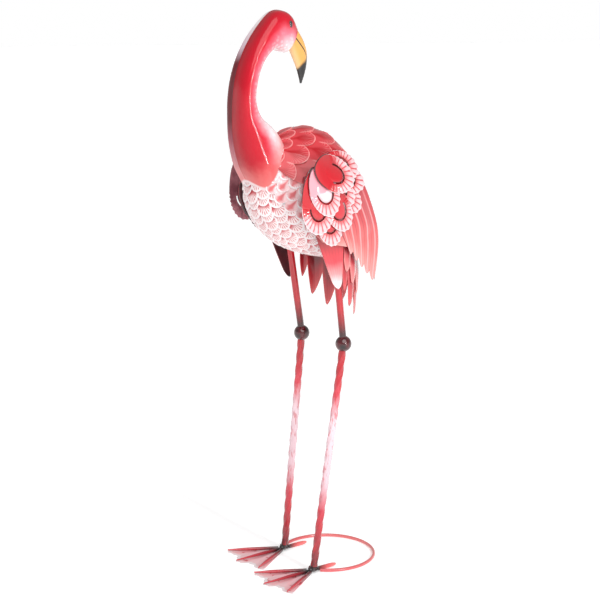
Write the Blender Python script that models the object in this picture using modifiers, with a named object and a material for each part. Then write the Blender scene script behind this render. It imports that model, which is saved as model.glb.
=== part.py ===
"""Garden flamingo of painted sheet steel, standing on two wire feet with its neck curled back over the body.

The bird looks along -Y at rest, its left side is +X, and the ground is z = 0. Metres.
The pose, proportions and carving are shares of the figure's height. Sheet, rods and beads have sizes of their own.
"""
import math

import bmesh
import bpy
from mathutils import Vector

# Overall size, and the share of it that the pose is written in
FIGURE_HEIGHT = 1.0
SHARE = FIGURE_HEIGHT / 1000.0

# Stock
SHEET = 0.0009
FIT_GAP = 0.0003
TOE_ROD = 0.0080
RING_ROD = 0.0060
LEG_BAR = 0.0120
UPPER_LEG_ROD = 0.0125
KNEE_BALL = 0.0290
FEATHER_STEP = 0.0022
PLATE_STEP = 0.0027
FACET_SAG = 0.0008

# Body: an egg with its tail end low, in shares of the height
BODY_CENTRE = Vector((0.0, 30.4, 671.4)) * SHARE
BODY_HALF_LENGTH = 144.7 * SHARE
BODY_HALF_WIDTH = 82.0 * SHARE
BODY_HALF_DEPTH = 98.2 * SHARE
BODY_TILT = math.radians(40.6)
BODY_FULLNESS = 1.86
TAIL_TAPER = 0.34
BACK_SLOPE = 0.22
BACK_SLOPE_START = -0.45
BACK_SLOPE_POWER = 1.3
ALONG = Vector((0.0, math.cos(BODY_TILT), -math.sin(BODY_TILT)))
UPWARD = Vector((0.0, math.sin(BODY_TILT), math.cos(BODY_TILT)))
SIDEWAYS = Vector((1.0, 0.0, 0.0))

# Feather rows on the body, from breast to tail, and the edges of the plates in degrees round the body from the top
BELLY_ROWS = 8
BELLY_FEATHERS = 8
BELLY_EDGE = 86.0
BACK_ROWS = 6
BACK_FEATHERS = 5
BACK_EDGE = 97.0
BACK_FRONT_DROP = 9.0
BACK_FRONT = 10.0
BACK_START = 24.0
BACK_END = 158.0
BACK_LAST = 174.0
FLANK_TOP = 92.0
FLANK_LOW = 132.0
FLANK_RISE = 14.0
FLANK_SCALLOP = 7.0
FLANK_START = 33.0
FLANK_END = 82.0

# Neck and head: outer seam, inner line and half width of each section, from the breast to the root of the beak
NECK_SECTIONS = (
    ((-108.0, 713.0), (-34.0, 698.0), 46.0),
    ((-121.0, 737.0), (-38.0, 746.0), 49.0),
    ((-130.0, 766.0), (-49.0, 783.0), 45.5),
    ((-134.0, 792.0), (-67.0, 806.0), 41.0),
    ((-135.0, 820.0), (-88.0, 824.0), 36.0),
    ((-134.0, 850.0), (-98.0, 849.0), 34.0),
    ((-129.5, 883.0), (-96.0, 875.0), 33.0),
    ((-119.5, 917.0), (-88.5, 900.0), 32.0),
    ((-104.0, 948.0), (-76.0, 921.0), 31.5),
    ((-83.0, 976.5), (-59.5, 934.0), 30.5),
    ((-60.0, 998.0), (-43.5, 932.0), 28.0),
    ((-38.0, 1000.0), (-32.0, 930.0), 24.0),
    ((-21.5, 991.0), (-26.0, 933.0), 19.0),
    ((-9.0, 971.0), (-22.0, 938.0), 12.5),
)
NECK_SQUARENESS = 3.0
NECK_RINGS_PER_SECTION = 2
NECK_HALF_POINTS = 6
BEAK_SECTIONS = (
    ((-9.0, 971.0), (-22.0, 938.0), 10.5),
    ((4.5, 952.0), (-16.0, 922.0), 9.0),
    ((12.0, 933.0), (-9.5, 908.0), 7.6),
    ((13.0, 913.0), (-5.5, 897.0), 5.8),
    ((8.5, 893.0), (-2.0, 885.0), 3.6),
    ((3.0, 877.0), (-0.5, 877.0), 0.9),
)
BEAK_POINTS = 8

# How far each side's wing and thigh feather sit back from their drawn place: the figure is bent by hand
SET_BACK = {"left": 0.0, "right": -11.0}

# Wings: the sheet surface that the plates lie on, and each petal's tip, half width and layer
SHOULDER = (-46.0, 744.0)
WING_OUT = 124.0
WING_LEVEL = 690.0
WING_BACK_START = -20.0
WING_BACK_TURN = 20.0
WING_UPPER_BEND = 0.0076
WING_FLARE = (-70.0, 20.0)
WING_ROOT_SHARE = 0.30
WING_LOWER_BEND = 0.0004
WING_REAR_BEND = 0.0028
PETALS = (
    ("wing_plate_front_1", (-30.0, 629.0), 31.0, 3, 0.0),
    ("wing_plate_front_2", (-6.0, 661.0), 28.0, 2, 0.0),
    ("wing_plate_front_3", (41.0, 717.0), 31.0, 0.3, 0.0),
    ("wing_plate_middle_1", (66.0, 737.0), 26.0, 4, 34.0),
    ("wing_plate_middle_2", (45.0, 677.0), 26.0, 5, 34.0),
    ("wing_plate_middle_3", (33.0, 633.0), 27.0, 4, 34.0),
    ("wing_plate_middle_4", (8.0, 607.0), 27.0, 6, 34.0),
    ("wing_plate_rear_1", (78.0, 706.0), 25.0, 7, 40.0),
    ("wing_plate_rear_2", (66.0, 665.0), 25.0, 8, 40.0),
)
PETAL_ANGLES = 12
PETAL_TIP_LENGTH = 44.0
TONGUE_LENGTH = 19.0
TONGUE_WIDTH = 14.0
SLOT_WIDTH = 0.0026
SLOT_HALF_ANGLE = 100.0
BASE_LAYER = 9.4
FLIGHT_FEATHERS = 5
FLIGHT_NOTCH = 12.0
FLIGHT_FRONT = ((-40.0, 724.0), (-58.0, 690.0), (-48.0, 645.0), (-14.0, 606.0))
FLIGHT_INNER = ((-8.0, 728.0), (-14.0, 692.0), (18.0, 640.0), (44.0, 592.0))
FLIGHT_OUTER = ((18.0, 748.0), (62.0, 733.0), (104.0, 660.0), (121.0, 602.0), (118.0, 524.0))
FLIGHT_STATIONS = 6

# Thigh feather under each wing: root, tip, half widths at the root and near the tip
THIGH_ROOT = (10.0, 634.0)
THIGH_TIP = (72.0, 34.0, 523.0)
THIGH_ROOT_WIDTH = 29.0
THIGH_TIP_WIDTH = 7.5

# Tail: lobes round the rear of the belly. Each lobe has the angle from straight back where it starts and the height
# of its tip, and the notches between them have heights of their own.
TAIL_CENTRE = 24.0
TAIL_HALF_WIDTH = 74.0
TAIL_HALF_DEPTH = 84.0
TAIL_INNER = (
    (-76.0, 522.0), (-66.0, 488.0), (-46.0, 468.0), (-24.0, 479.0), (0.0, 470.0), (24.0, 466.0), (46.0, 486.0), (66.0, 517.0)
)
TAIL_INNER_NOTCHES = (548.0, 544.0, 528.0, 520.0, 540.0, 512.0, 526.0, 544.0, 550.0)
TAIL_OUTER = (
    (-76.0, 556.0), (-64.0, 543.0), (-48.0, 530.0), (-26.0, 516.0), (0.0, 508.0), (26.0, 506.0), (48.0, 528.0), (64.0, 552.0)
)
TAIL_OUTER_NOTCHES = (572.0, 562.0, 556.0, 548.0, 546.0, 540.0, 546.0, 560.0, 574.0)
TAIL_CELLS = ((0.14, 0.30), (0.30, 0.0), (0.66, 0.42))
TAIL_TUCK = 0.05

# Legs and feet. A foot's first number is the side, +1 for the left.
KNEE_HEIGHT = 419.0 * SHARE
LEGS = (
    ("left", 1.0, (54.0, 36.0), (58.0, 55.0), (57.0, -7.0)),
    ("right", -1.0, (54.0, 7.0), (58.0, 40.0), (63.0, 5.0)),
)
FOOT_YAW = 3.5
TOE_SPLAY = 29.0
TOE_LENGTH = 108.0
HEEL_LENGTH = 50.0
TOE_TAPER = 0.45
WEB_REACH = 0.93
WEB_SCALLOP = 0.20
TWISTS = 4.0
TWIST_RINGS = 20
RING_CENTRE = 62.0
RING_RADIUS = 88.0
RING_POINTS = 21


def share(y, z, x=0.0):
    """A point of the pose, from shares of the height."""
    return Vector((x, y, z)) * SHARE


def smoothstep(low, high, value):
    t = min(1.0, max(0.0, (value - low) / (high - low)))
    return t * t * (3.0 - 2.0 * t)


def smooth_path(points, steps):
    """Points along a smooth curve through the given ones, as tuples of the same length."""
    rows = [points[0]] + list(points) + [points[-1]]
    path = []
    for i in range(len(points) - 1):
        p0, p1, p2, p3 = rows[i:i + 4]
        for k in range(steps):
            t = k / steps
            path.append(tuple(
                0.5 * (2 * b + (c - a) * t + (2 * a - 5 * b + 4 * c - d) * t ** 2 + (3 * b - a - 3 * c + d) * t ** 3)
                for a, b, c, d in zip(p0, p1, p2, p3)
            ))
    path.append(tuple(points[-1]))
    return path


def along_path(points, t):
    """The point at the share t of a smooth curve through the given points."""
    steps = 12
    path = smooth_path(points, steps)
    place = min(t * (len(path) - 1), len(path) - 1.0001)
    i = int(place)
    f = place - i
    return tuple(a + (b - a) * f for a, b in zip(path[i], path[i + 1]))


def paint(name, colour, roughness=0.3, metallic=0.0):
    material = bpy.data.materials.get(name) or bpy.data.materials.new(name)
    material.use_nodes = True
    shader = material.node_tree.nodes["Principled BSDF"]
    shader.inputs["Base Color"].default_value = (*colour, 1.0)
    shader.inputs["Roughness"].default_value = roughness
    shader.inputs["Metallic"].default_value = metallic
    return material


RED = ("enamel_red", (0.60, 0.015, 0.03))
ROSE = ("enamel_rose", (0.80, 0.22, 0.22))
PALE = ("enamel_pale", (0.86, 0.55, 0.52))
OCHRE = ("enamel_ochre", (0.70, 0.42, 0.10))
MAROON = ("enamel_maroon", (0.22, 0.015, 0.02))
SALMON = ("enamel_salmon", (0.78, 0.16, 0.15))
BLACK_RED = ("enamel_black_red", (0.10, 0.008, 0.01))


class Model:
    """Keeps the collections, and the empty that the whole figure hangs on."""

    def __init__(self):
        for old in list(bpy.data.objects):
            bpy.data.objects.remove(old, do_unlink=True)
        self.parts = bpy.data.collections.new("garden_flamingo")
        self.cutters = bpy.data.collections.new("cutters")
        bpy.context.scene.collection.children.link(self.parts)
        bpy.context.scene.collection.children.link(self.cutters)
        self.stand = bpy.data.objects.new("figure", None)
        self.parts.objects.link(self.stand)

    def add(self, obj, colour, sharp=35.0):
        self.parts.objects.link(obj)
        obj.parent = self.stand
        obj.data.materials.append(paint(*colour))
        if obj.type == "MESH":
            obj.data.shade_smooth()
            obj.data.set_sharp_from_angle(angle=math.radians(sharp))
        return obj

    def add_cutter(self, obj):
        self.cutters.objects.link(obj)
        obj.parent = self.stand
        obj.hide_render = True
        obj.display_type = "WIRE"
        return obj


def new_mesh(name, vertices, faces):
    mesh = bpy.data.meshes.new(name)
    mesh.from_pydata([tuple(v) for v in vertices], [], faces)
    mesh.update()
    return bpy.data.objects.new(name, mesh)


def face_out(obj):
    """Turns a closed mesh's faces outwards."""
    work = bmesh.new()
    work.from_mesh(obj.data)
    bmesh.ops.recalc_face_normals(work, faces=work.faces)
    if work.calc_volume(signed=True) < 0.0:
        bmesh.ops.reverse_faces(work, faces=work.faces)
    work.to_mesh(obj.data)
    work.free()
    return obj


def loft(name, rings):
    """A closed solid of triangles through rings with the same number of points, capped at both ends."""
    count = len(rings[0])
    vertices = [v for ring in rings for v in ring]
    faces = []
    for r in range(len(rings) - 1):
        for i in range(count):
            a, b = r * count + i, r * count + (i + 1) % count
            faces.append((a, b, b + count))
            faces.append((a, b + count, a + count))
    faces.append(tuple(reversed(range(count))))
    faces.append(tuple(range((len(rings) - 1) * count, len(rings) * count)))
    return face_out(new_mesh(name, vertices, faces))


def plate_between(name, outer, inner):
    """A closed plate whose two faces are grids of the same size, each a list of rows."""
    rows, columns = len(outer), len(outer[0])
    vertices = [v for row in outer for v in row] + [v for row in inner for v in row]
    shift = rows * columns
    faces = []
    for r in range(rows - 1):
        for c in range(columns - 1):
            a, b = r * columns + c, r * columns + c + 1
            d, e = a + columns, b + columns
            for first, second, third in ((a, b, e), (a, e, d)):
                faces.append((first, second, third))
                faces.append((shift + first, shift + third, shift + second))
    rim = [c for c in range(columns)]
    rim += [r * columns + columns - 1 for r in range(1, rows)]
    rim += [(rows - 1) * columns + c for c in range(columns - 2, -1, -1)]
    rim += [r * columns for r in range(rows - 2, 0, -1)]
    for a, b in zip(rim, rim[1:] + rim[:1]):
        faces.append((b, a, shift + a, shift + b))
    return face_out(new_mesh(name, vertices, faces))


def sheet(name, grid, thickness=SHEET):
    """A pressed sheet: an open surface of grid rows, thickened evenly to both sides."""
    rows, columns = len(grid), len(grid[0])
    faces = []
    for r in range(rows - 1):
        for c in range(columns - 1):
            a = r * columns + c
            faces.append((a, a + 1, a + columns + 1))
            faces.append((a, a + columns + 1, a + columns))
    obj = new_mesh(name, [v for row in grid for v in row], faces)
    thicken(obj, thickness)
    return obj


def thicken(obj, thickness=SHEET):
    wall = obj.modifiers.new("wall", "SOLIDIFY")
    wall.thickness = thickness
    wall.offset = 0.0
    wall.use_even_offset = False


def rod(name, points, diameter, tip_share=1.0):
    """A round rod through the points, tapering to tip_share of its diameter at the last third."""
    curve = bpy.data.curves.new(name, "CURVE")
    curve.dimensions = "3D"
    curve.bevel_depth = diameter / 2.0
    curve.bevel_resolution = 2
    curve.use_fill_caps = True
    spline = curve.splines.new("POLY")
    spline.points.add(len(points) - 1)
    for i, point in enumerate(points):
        spline.points[i].co = (*point, 1.0)
        reach = i / (len(points) - 1)
        spline.points[i].radius = 1.0 - (1.0 - tip_share) * smoothstep(0.6, 1.0, reach)
    return bpy.data.objects.new(name, curve)


def cut(obj, cutter):
    hole = obj.modifiers.new("cut", "BOOLEAN")
    hole.operation = "DIFFERENCE"
    hole.solver = "EXACT"
    hole.object = cutter


def girth(s):
    """Share of the full girth at the place s along the body, from -1 at the breast to 1 at the tail."""
    return max(0.0, 1.0 - abs(s) ** BODY_FULLNESS) ** (1.0 / BODY_FULLNESS)


def body_depth(s, above):
    """Half depth at full girth, less towards the tail, where the back slopes down more than the belly rises."""
    s = max(-1.0, min(1.0, s))
    behind = max(0.0, s - BACK_SLOPE_START) if above else 0.0
    return BODY_HALF_DEPTH * (1.0 - TAIL_TAPER * s - BACK_SLOPE * behind ** BACK_SLOPE_POWER)


def body_point(s, degrees, lift=0.0):
    """A point on the body: s along it, degrees round it from the top towards +X, lifted off its skin."""
    s = max(-0.9995, min(0.9995, s))
    turn = math.radians(degrees)
    g = girth(s)
    above = math.cos(turn) > 0.0
    depth = body_depth(s, above)
    slope = -math.copysign(abs(s) ** (BODY_FULLNESS - 1.0), s) * g ** (1.0 - BODY_FULLNESS)
    behind = max(0.0, s - BACK_SLOPE_START) if above else 0.0
    loss = TAIL_TAPER + BACK_SLOPE * BACK_SLOPE_POWER * behind ** (BACK_SLOPE_POWER - 1.0) * above
    taper = loss * BODY_HALF_DEPTH / depth * g * math.cos(turn) ** 2
    point = (
        BODY_CENTRE
        + ALONG * (BODY_HALF_LENGTH * s)
        + SIDEWAYS * (BODY_HALF_WIDTH * g * math.sin(turn))
        + UPWARD * (depth * g * math.cos(turn))
    )
    normal = (
        SIDEWAYS * (math.sin(turn) / BODY_HALF_WIDTH)
        + UPWARD * (math.cos(turn) / depth)
        + ALONG * ((taper - slope) / BODY_HALF_LENGTH)
    )
    return point + normal.normalized() * lift


def inside_body(point, lift):
    local = point - BODY_CENTRE
    s = local.dot(ALONG) / (BODY_HALF_LENGTH + lift)
    if abs(s) >= 1.0:
        return False
    side = local.x / (BODY_HALF_WIDTH + lift)
    up = local.dot(UPWARD) / (body_depth(s, local.dot(UPWARD) > 0.0) + lift)
    return math.hypot(side, up) < girth(s)


def body_side(y, z, lift):
    """How far the body reaches sideways at a place in its side view, or 0 beside it."""
    local = Vector((0.0, y, z)) - BODY_CENTRE
    s = local.dot(ALONG) / (BODY_HALF_LENGTH + lift)
    if abs(s) >= 1.0:
        return 0.0
    up = local.dot(UPWARD) / (body_depth(s, local.dot(UPWARD) > 0.0) + lift)
    return (BODY_HALF_WIDTH + lift) * math.sqrt(max(0.0, girth(s) ** 2 - up ** 2))


def body_underside(x, y, lift):
    """Height of the body's underside at a place seen from below."""
    heights = [BODY_CENTRE.z + BODY_HALF_LENGTH * (k / 40.0 - 1.2) for k in range(80)]
    found = [z for z in heights if inside_body(Vector((x, y, z)), lift)]
    if not found:
        return BODY_CENTRE.z + ALONG.z * BODY_HALF_LENGTH
    high = found[0]
    low = high - BODY_HALF_LENGTH / 40.0
    for _ in range(30):
        middle = (low + high) / 2.0
        if inside_body(Vector((x, y, middle)), lift):
            high = middle
        else:
            low = middle
    return low


def place_of(angle):
    """The place along the body for an angle from the breast pole, so rows keep an even width."""
    return -math.cos(math.radians(angle))


def feather_edge(columns_done, row, feathers, depth):
    """Scalloped edge of a row of feathers, each row shifted by half a feather."""
    place = (columns_done * feathers + 0.5 * (row % 2)) % 1.0
    return depth * (1.0 - abs(2.0 * place - 1.0) ** 2.4)


def belly_rings(lift):
    """Rings of the body's skin with rows of rounded feathers below, each row stepping down to the next."""
    low_points = BELLY_FEATHERS * 4
    top_points = 5
    sunk = 3.0 * FACET_SAG
    turns = [BELLY_EDGE + (360.0 - 2.0 * BELLY_EDGE) * i / low_points for i in range(low_points + 1)]
    turns += [-BELLY_EDGE + 2.0 * BELLY_EDGE * (i + 1) / (top_points + 1) for i in range(top_points)]
    first, last = 22.0, 160.0
    row_width = (last - first) / BELLY_ROWS

    def pole_ring(angle):
        return [body_point(place_of(angle), turn, lift - sunk * (i > low_points)) for i, turn in enumerate(turns)]

    rings = [pole_ring(first / 2.0)]

    def ring(angle, row, raised):
        points = []
        for i, turn in enumerate(turns):
            carved = smoothstep(BELLY_EDGE + 4.0, BELLY_EDGE + 16.0, turn) if turn > 0.0 else 0.0
            carved *= smoothstep(360.0 - BELLY_EDGE - 4.0, 360.0 - BELLY_EDGE - 16.0, turn) if turn > 180.0 else 1.0
            scallop = feather_edge(i / low_points, row, BELLY_FEATHERS, 0.42 * row_width) * carved
            height = FEATHER_STEP * carved if raised else 0.0
            if i > low_points:
                height = -sunk
            points.append(body_point(place_of(angle + scallop), turn, lift + height))
        return points

    for row in range(BELLY_ROWS + 1):
        angle = first + row_width * row
        if row > 0:
            rings.append(ring(angle, row - 1, True))
        if row < BELLY_ROWS:
            rings.append(ring(angle + 0.5, row - 1, False))
    rings.append(pole_ring(last + 0.3 * (180.0 - last)))
    return rings


def back_lift(degrees):
    """Underside of the back plate: on the body at the top, over the flank plates at its edges."""
    over_flank = FEATHER_STEP + SHEET + FIT_GAP + 2.4 * FACET_SAG
    return FIT_GAP + over_flank * smoothstep(50.0, FLANK_TOP - 8.0, abs(degrees))


def make_body(model):
    belly = model.add(loft("belly_shell", belly_rings(0.0)), PALE)
    back_shell(model)
    for side_name, side in (("left", 1.0), ("right", -1.0)):
        flank_plate(model, side_name, side)
    return belly


def back_shell(model):
    columns = BACK_FEATHERS * 4
    start = BACK_START
    width = (BACK_END - BACK_START) / BACK_ROWS
    outer, inner = [], []

    def add_ring(angle, row, raised, scallop_share=1.0):
        top, under = [], []
        edge = BACK_EDGE + BACK_FRONT_DROP * (1.0 - smoothstep(start, start + 2.0 * width, angle))
        for i in range(columns + 1):
            turn = edge * (2.0 * i / columns - 1.0)
            carved = smoothstep(start, start + 14.0, angle)
            scallop = feather_edge(i / columns, row, BACK_FEATHERS, 0.45 * width) * (row >= 0) * scallop_share
            height = FEATHER_STEP * carved * raised
            place = place_of(min(angle + scallop, BACK_LAST))
            under.append(body_point(place, turn, back_lift(turn)))
            top.append(body_point(place, turn, back_lift(turn) + SHEET + height))
        outer.append(top)
        inner.append(under)

    add_ring(BACK_FRONT, -1, 0.0)
    for row in range(BACK_ROWS + 1):
        angle = start + width * row
        if row > 0:
            add_ring(angle, row - 1, 1.0)
        if row < BACK_ROWS:
            add_ring(angle + 0.5, row - 1, 0.0)
            add_ring(angle + 0.6 * width, row, 0.6, 0.3)
    model.add(plate_between("back_shell", outer, inner), RED)


def flank_plate(model, side_name, side):
    """Pale plate on the flank with two rows of rounded feathers, lying on the belly's feathers."""
    columns = 12
    lobes = 3.0
    outer, inner = [], []
    rings = (
        (0.0, 0.0, 0.5, 0.0),
        (0.3, 0.0, 0.5, 0.0),
        (0.52, 1.0, 0.5, 1.0),
        (0.56, 0.0, 0.5, 1.0),
        (0.78, 0.5, 0.0, 0.5),
        (1.0, 1.0, 0.0, 1.0),
    )
    for down, raised, shift, reach in rings:
        top, under = [], []
        for c in range(columns + 1):
            f = c / columns
            scallop = reach * FLANK_SCALLOP * (1.0 - abs(2.0 * ((f * lobes + shift) % 1.0) - 1.0) ** 2.0)
            low = FLANK_LOW - FLANK_RISE * f
            turn = FLANK_TOP + (low - FLANK_TOP) * down + scallop
            place = place_of(FLANK_START + (FLANK_END - FLANK_START) * f)
            lift = FEATHER_STEP + FIT_GAP + FACET_SAG
            under.append(body_point(place, side * turn, lift))
            top.append(body_point(place, side * turn, lift + SHEET + FEATHER_STEP * raised))
        outer.append(top)
        inner.append(under)
    model.add(plate_between(f"flank_plate_{side_name}", outer, inner), PALE)


def section_ring(outer, inner, half_width, count, power, side=0.0):
    """Points round a rounded section, or round one half of it closed by the middle plane."""
    start, end = share(*outer), share(*inner)
    centre = (start + end) / 2.0
    depth = (start - end) / 2.0
    width = SIDEWAYS * half_width * SHARE
    points = []
    total = count if side == 0.0 else count - 1
    for i in range(count):
        angle = (2.0 if side == 0.0 else 1.0) * math.pi * i / total
        c, s = math.cos(angle), math.sin(angle)
        swell = (abs(c) ** power + abs(s) ** power) ** (-1.0 / power)
        across = swell * s if side == 0.0 else swell * s * side
        point = centre + depth * (swell * c) + width * across
        if side != 0.0 and abs(point.x) < FIT_GAP / 2.0:
            point.x = side * FIT_GAP / 2.0
        points.append(point)
    return points


def neck_cutter(model):
    """The body with its plates, a fit gap larger, which the neck's foot is shaped to."""
    rings = []
    edge = BACK_EDGE + BACK_FRONT_DROP
    over_back = SHEET + FIT_GAP + FACET_SAG
    over_belly = FEATHER_STEP + FIT_GAP + 2.0 * FACET_SAG
    for k in range(1, 24):
        place = place_of(180.0 * k / 24.0)
        ring = []
        for i in range(40):
            turn = 9.0 * i
            from_top = min(turn, 360.0 - turn)
            below = smoothstep(FLANK_LOW + FLANK_SCALLOP, FLANK_LOW + 24.0, from_top)
            lift = back_lift(min(from_top, edge)) + over_back
            ring.append(body_point(place, turn, lift + (over_belly - lift) * below))
        rings.append(ring)
    return model.add_cutter(loft("body_with_plates", rings))


def make_neck(model):
    cutter = neck_cutter(model)
    flat = [(*outer, *inner, width) for outer, inner, width in NECK_SECTIONS]
    path = smooth_path(flat, NECK_RINGS_PER_SECTION)
    for side_name, side in (("left", 1.0), ("right", -1.0)):
        rings = [section_ring(p[0:2], p[2:4], p[4], NECK_HALF_POINTS, NECK_SQUARENESS, side) for p in path]
        half = model.add(loft(f"neck_{side_name}_half", rings), RED)
        cut(half, cutter)


def make_beak(model):
    flat = [(*outer, *inner, width) for outer, inner, width in BEAK_SECTIONS]
    rings = [section_ring(p[0:2], p[2:4], p[4], BEAK_POINTS, 2.0) for p in smooth_path(flat, 2)]
    root = (rings[1][0] - rings[0][0]).normalized() * 2.0 * FIT_GAP
    rings[0] = [point + root for point in rings[0]]
    model.add(loft("beak", rings), OCHRE)


def wing_surface(place, z, layer, shift):
    """Sideways place of a wing plate at a place in its side view. Layers count inwards from the outermost."""
    y = place - shift
    upper_bend = WING_UPPER_BEND * smoothstep(*WING_FLARE, y)
    drop = (upper_bend if z > WING_LEVEL else WING_LOWER_BEND) * (z - WING_LEVEL) ** 2
    behind = y - WING_BACK_START
    turn = WING_BACK_TURN - WING_BACK_START
    if behind <= 0.0:
        drop += 0.001 * behind ** 2
    elif behind < turn:
        drop += WING_REAR_BEND * behind ** 2
    else:
        drop += WING_REAR_BEND * turn * (2.0 * behind - turn)
    reach = math.hypot(y - SHOULDER[0], z - SHOULDER[1])
    tight = SHEET + 4.0 * FIT_GAP
    step = tight + (PLATE_STEP - tight) * smoothstep(0.0, 45.0, reach)
    free = (WING_OUT - drop) * SHARE - step * layer
    return max(free, wing_rest(place, z) + tight * (BASE_LAYER - layer))


def wing_rest(y, z):
    """Sideways place of a wing sheet that lies on the body's plates at (y, z)."""
    over_plates = back_lift(BACK_EDGE) + SHEET + FEATHER_STEP + FIT_GAP + 2.0 * FACET_SAG
    return body_side(y * SHARE, z * SHARE, over_plates) + SHEET


def petal_radius(angle, front, back, half_width):
    """Distance from a petal's centre to its edge: a rounded tip in front, a narrow root behind."""
    c, s = math.cos(angle), abs(math.sin(angle))
    if c >= 0.0:
        return 1.0 / math.hypot(c / front, s / half_width)
    power = 1.8
    return ((-c / back) ** power + (s / half_width) ** power) ** (-1.0 / power)


def wing_plate(model, name, side_name, side, tip, half_width, layer, set_back):
    """A petal with a U-shaped slot round the end of its tongue, its root set back from the shoulder."""
    shift = SET_BACK[side_name]
    root_to_tip = Vector((tip[0] - SHOULDER[0], tip[1] - SHOULDER[1]))
    length = root_to_tip.length
    forward = root_to_tip / length
    across = Vector((-forward.y, forward.x))
    centre = Vector((SHOULDER[0] + shift, SHOULDER[1])) + forward * (length - PETAL_TIP_LENGTH)
    slot = SLOT_WIDTH / SHARE
    sizes = (
        (TONGUE_LENGTH, 0.22 * length, TONGUE_WIDTH),
        (TONGUE_LENGTH + slot, 0.22 * length + slot, TONGUE_WIDTH + slot),
        (PETAL_TIP_LENGTH, length - PETAL_TIP_LENGTH - set_back, half_width),
    )

    def place(point):
        x = side * wing_surface(point.x, point.y, layer, shift)
        return Vector((x, point.x * SHARE, point.y * SHARE))

    vertices = [place(centre)]
    for front, back, width in sizes:
        for i in range(PETAL_ANGLES):
            angle = 2.0 * math.pi * (i + 0.5) / PETAL_ANGLES
            r = petal_radius(angle, front, back, width)
            vertices.append(place(centre + forward * (r * math.cos(angle)) + across * (r * math.sin(angle))))
    faces = []
    n = PETAL_ANGLES
    for i in range(n):
        j = (i + 1) % n
        faces.append((0, 1 + i, 1 + j))
        middle = 360.0 * (i + 1.0) / n
        if min(middle, 360.0 - middle) > SLOT_HALF_ANGLE:
            faces.append((1 + i, 1 + n + i, 1 + n + j))
            faces.append((1 + i, 1 + n + j, 1 + j))
        faces.append((1 + n + i, 1 + 2 * n + i, 1 + 2 * n + j))
        faces.append((1 + n + i, 1 + 2 * n + j, 1 + n + j))
    if side < 0.0:
        faces = [tuple(reversed(face)) for face in faces]
    obj = new_mesh(f"{name}_{side_name}", vertices, faces)
    thicken(obj)
    model.add(obj, RED)


def wing_base(model, side_name, side):
    """Sheet under the petals that starts on the body's shoulder and ends in long flight feathers."""
    columns = FLIGHT_FEATHERS * 2
    front_columns = 2
    shift = SET_BACK[side_name]
    grid = []
    for r in range(FLIGHT_STATIONS + 1):
        row = []
        for c in range(-front_columns, columns + 1):
            notch = FLIGHT_NOTCH if c % 2 == 0 else 0.0
            if c <= 0 or c == columns:
                notch = FLIGHT_NOTCH * 0.5
            t = r / FLIGHT_STATIONS
            inner = along_path(FLIGHT_INNER, t)
            outer = along_path(FLIGHT_OUTER, t)
            f = c / columns
            if c < 0:
                outer = along_path(FLIGHT_FRONT, t)
                f = -c / front_columns
            y = inner[0] + (outer[0] - inner[0]) * f + shift
            z = inner[1] + (outer[1] - inner[1]) * f + notch * smoothstep(0.55, 1.0, t)
            rest = wing_rest(y, z)
            x = rest + (wing_surface(y, z, BASE_LAYER, shift) - rest) * smoothstep(0.0, WING_ROOT_SHARE, t)
            row.append(Vector((side * x, y * SHARE, z * SHARE)))
        grid.append(row)
    model.add(sheet(f"wing_base_{side_name}", grid), SALMON)


def thigh_feather(model, side_name, side):
    """Blade that hangs from the body's side below the wing, with a rounded tip."""
    tip_x, tip_y, tip_z = THIGH_TIP
    lift = FEATHER_STEP + 2.0 * SHEET + 2.0 * FIT_GAP + FACET_SAG
    rows = 6
    grid = []
    for r in range(rows + 1):
        t = r / rows
        width = THIGH_ROOT_WIDTH + (THIGH_TIP_WIDTH - THIGH_ROOT_WIDTH) * t ** 1.2
        if r == rows:
            width *= 0.45
        y = THIGH_ROOT[0] + (tip_y - THIGH_ROOT[0]) * t + SET_BACK[side_name]
        z = THIGH_ROOT[1] + (tip_z - THIGH_ROOT[1]) * (t if r < rows else 1.0)
        row = []
        for c in range(-2, 3):
            yy = y + width * c / 2.0
            root_x = body_side(yy * SHARE, THIGH_ROOT[1] * SHARE, lift) / SHARE
            x = root_x + (tip_x - root_x) * math.sin(0.5 * math.pi * t)
            x = max(x * SHARE, body_side(yy * SHARE, z * SHARE, lift)) + FIT_GAP
            row.append(Vector((side * x, yy * SHARE, z * SHARE)))
        grid.append(row)
    model.add(sheet(f"thigh_feather_{side_name}", grid), ROSE)


def tail_edge(lobes, notches, end):
    """Points of a fan's lower edge as angle and height. Each lobe's tip is nearer to its front side."""
    points = []
    starts = [start for start, tip in lobes] + [end]
    for i, (start, tip) in enumerate(lobes):
        width = starts[i + 1] - start
        points.append((start, notches[i]))
        front_first = start + width / 2.0 < 0.0
        cells = TAIL_CELLS if front_first else [(1.0 - place, rise) for place, rise in reversed(TAIL_CELLS)]
        for place, rise in cells:
            notch = notches[i] + (notches[i + 1] - notches[i]) * place
            points.append((start + width * place, tip + (notch - tip) * rise))
    points.append((end, notches[-1]))
    return points


def tail_fan(model, name, edge, wider, colour):
    """A curved sheet round the rear of the belly, cut into pointed lobes that lean outwards."""
    rows = 1
    lift = FEATHER_STEP + FIT_GAP + SHEET
    grid = [[] for _ in range(rows + 1)]
    middle = Vector((0.0, TAIL_CENTRE * SHARE, 0.0))
    for degrees, height in edge:
        turn = math.radians(degrees)
        across = (TAIL_HALF_WIDTH * SHARE + wider) * math.sin(turn)
        back = (TAIL_HALF_DEPTH * SHARE + wider) * math.cos(turn)
        top = body_underside(across, middle.y + back, lift)
        low = min(height * SHARE, top - 2.0 * SHEET)
        for r in range(rows + 1):
            z = top + (low - top) * r / rows
            hang = max(0.0, top - z) / (100.0 * SHARE)
            tuck = 1.0 - TAIL_TUCK * hang ** 2
            grid[r].append(Vector((across * tuck, middle.y + back * tuck, z)))
    model.add(sheet(name, grid), colour)


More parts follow.
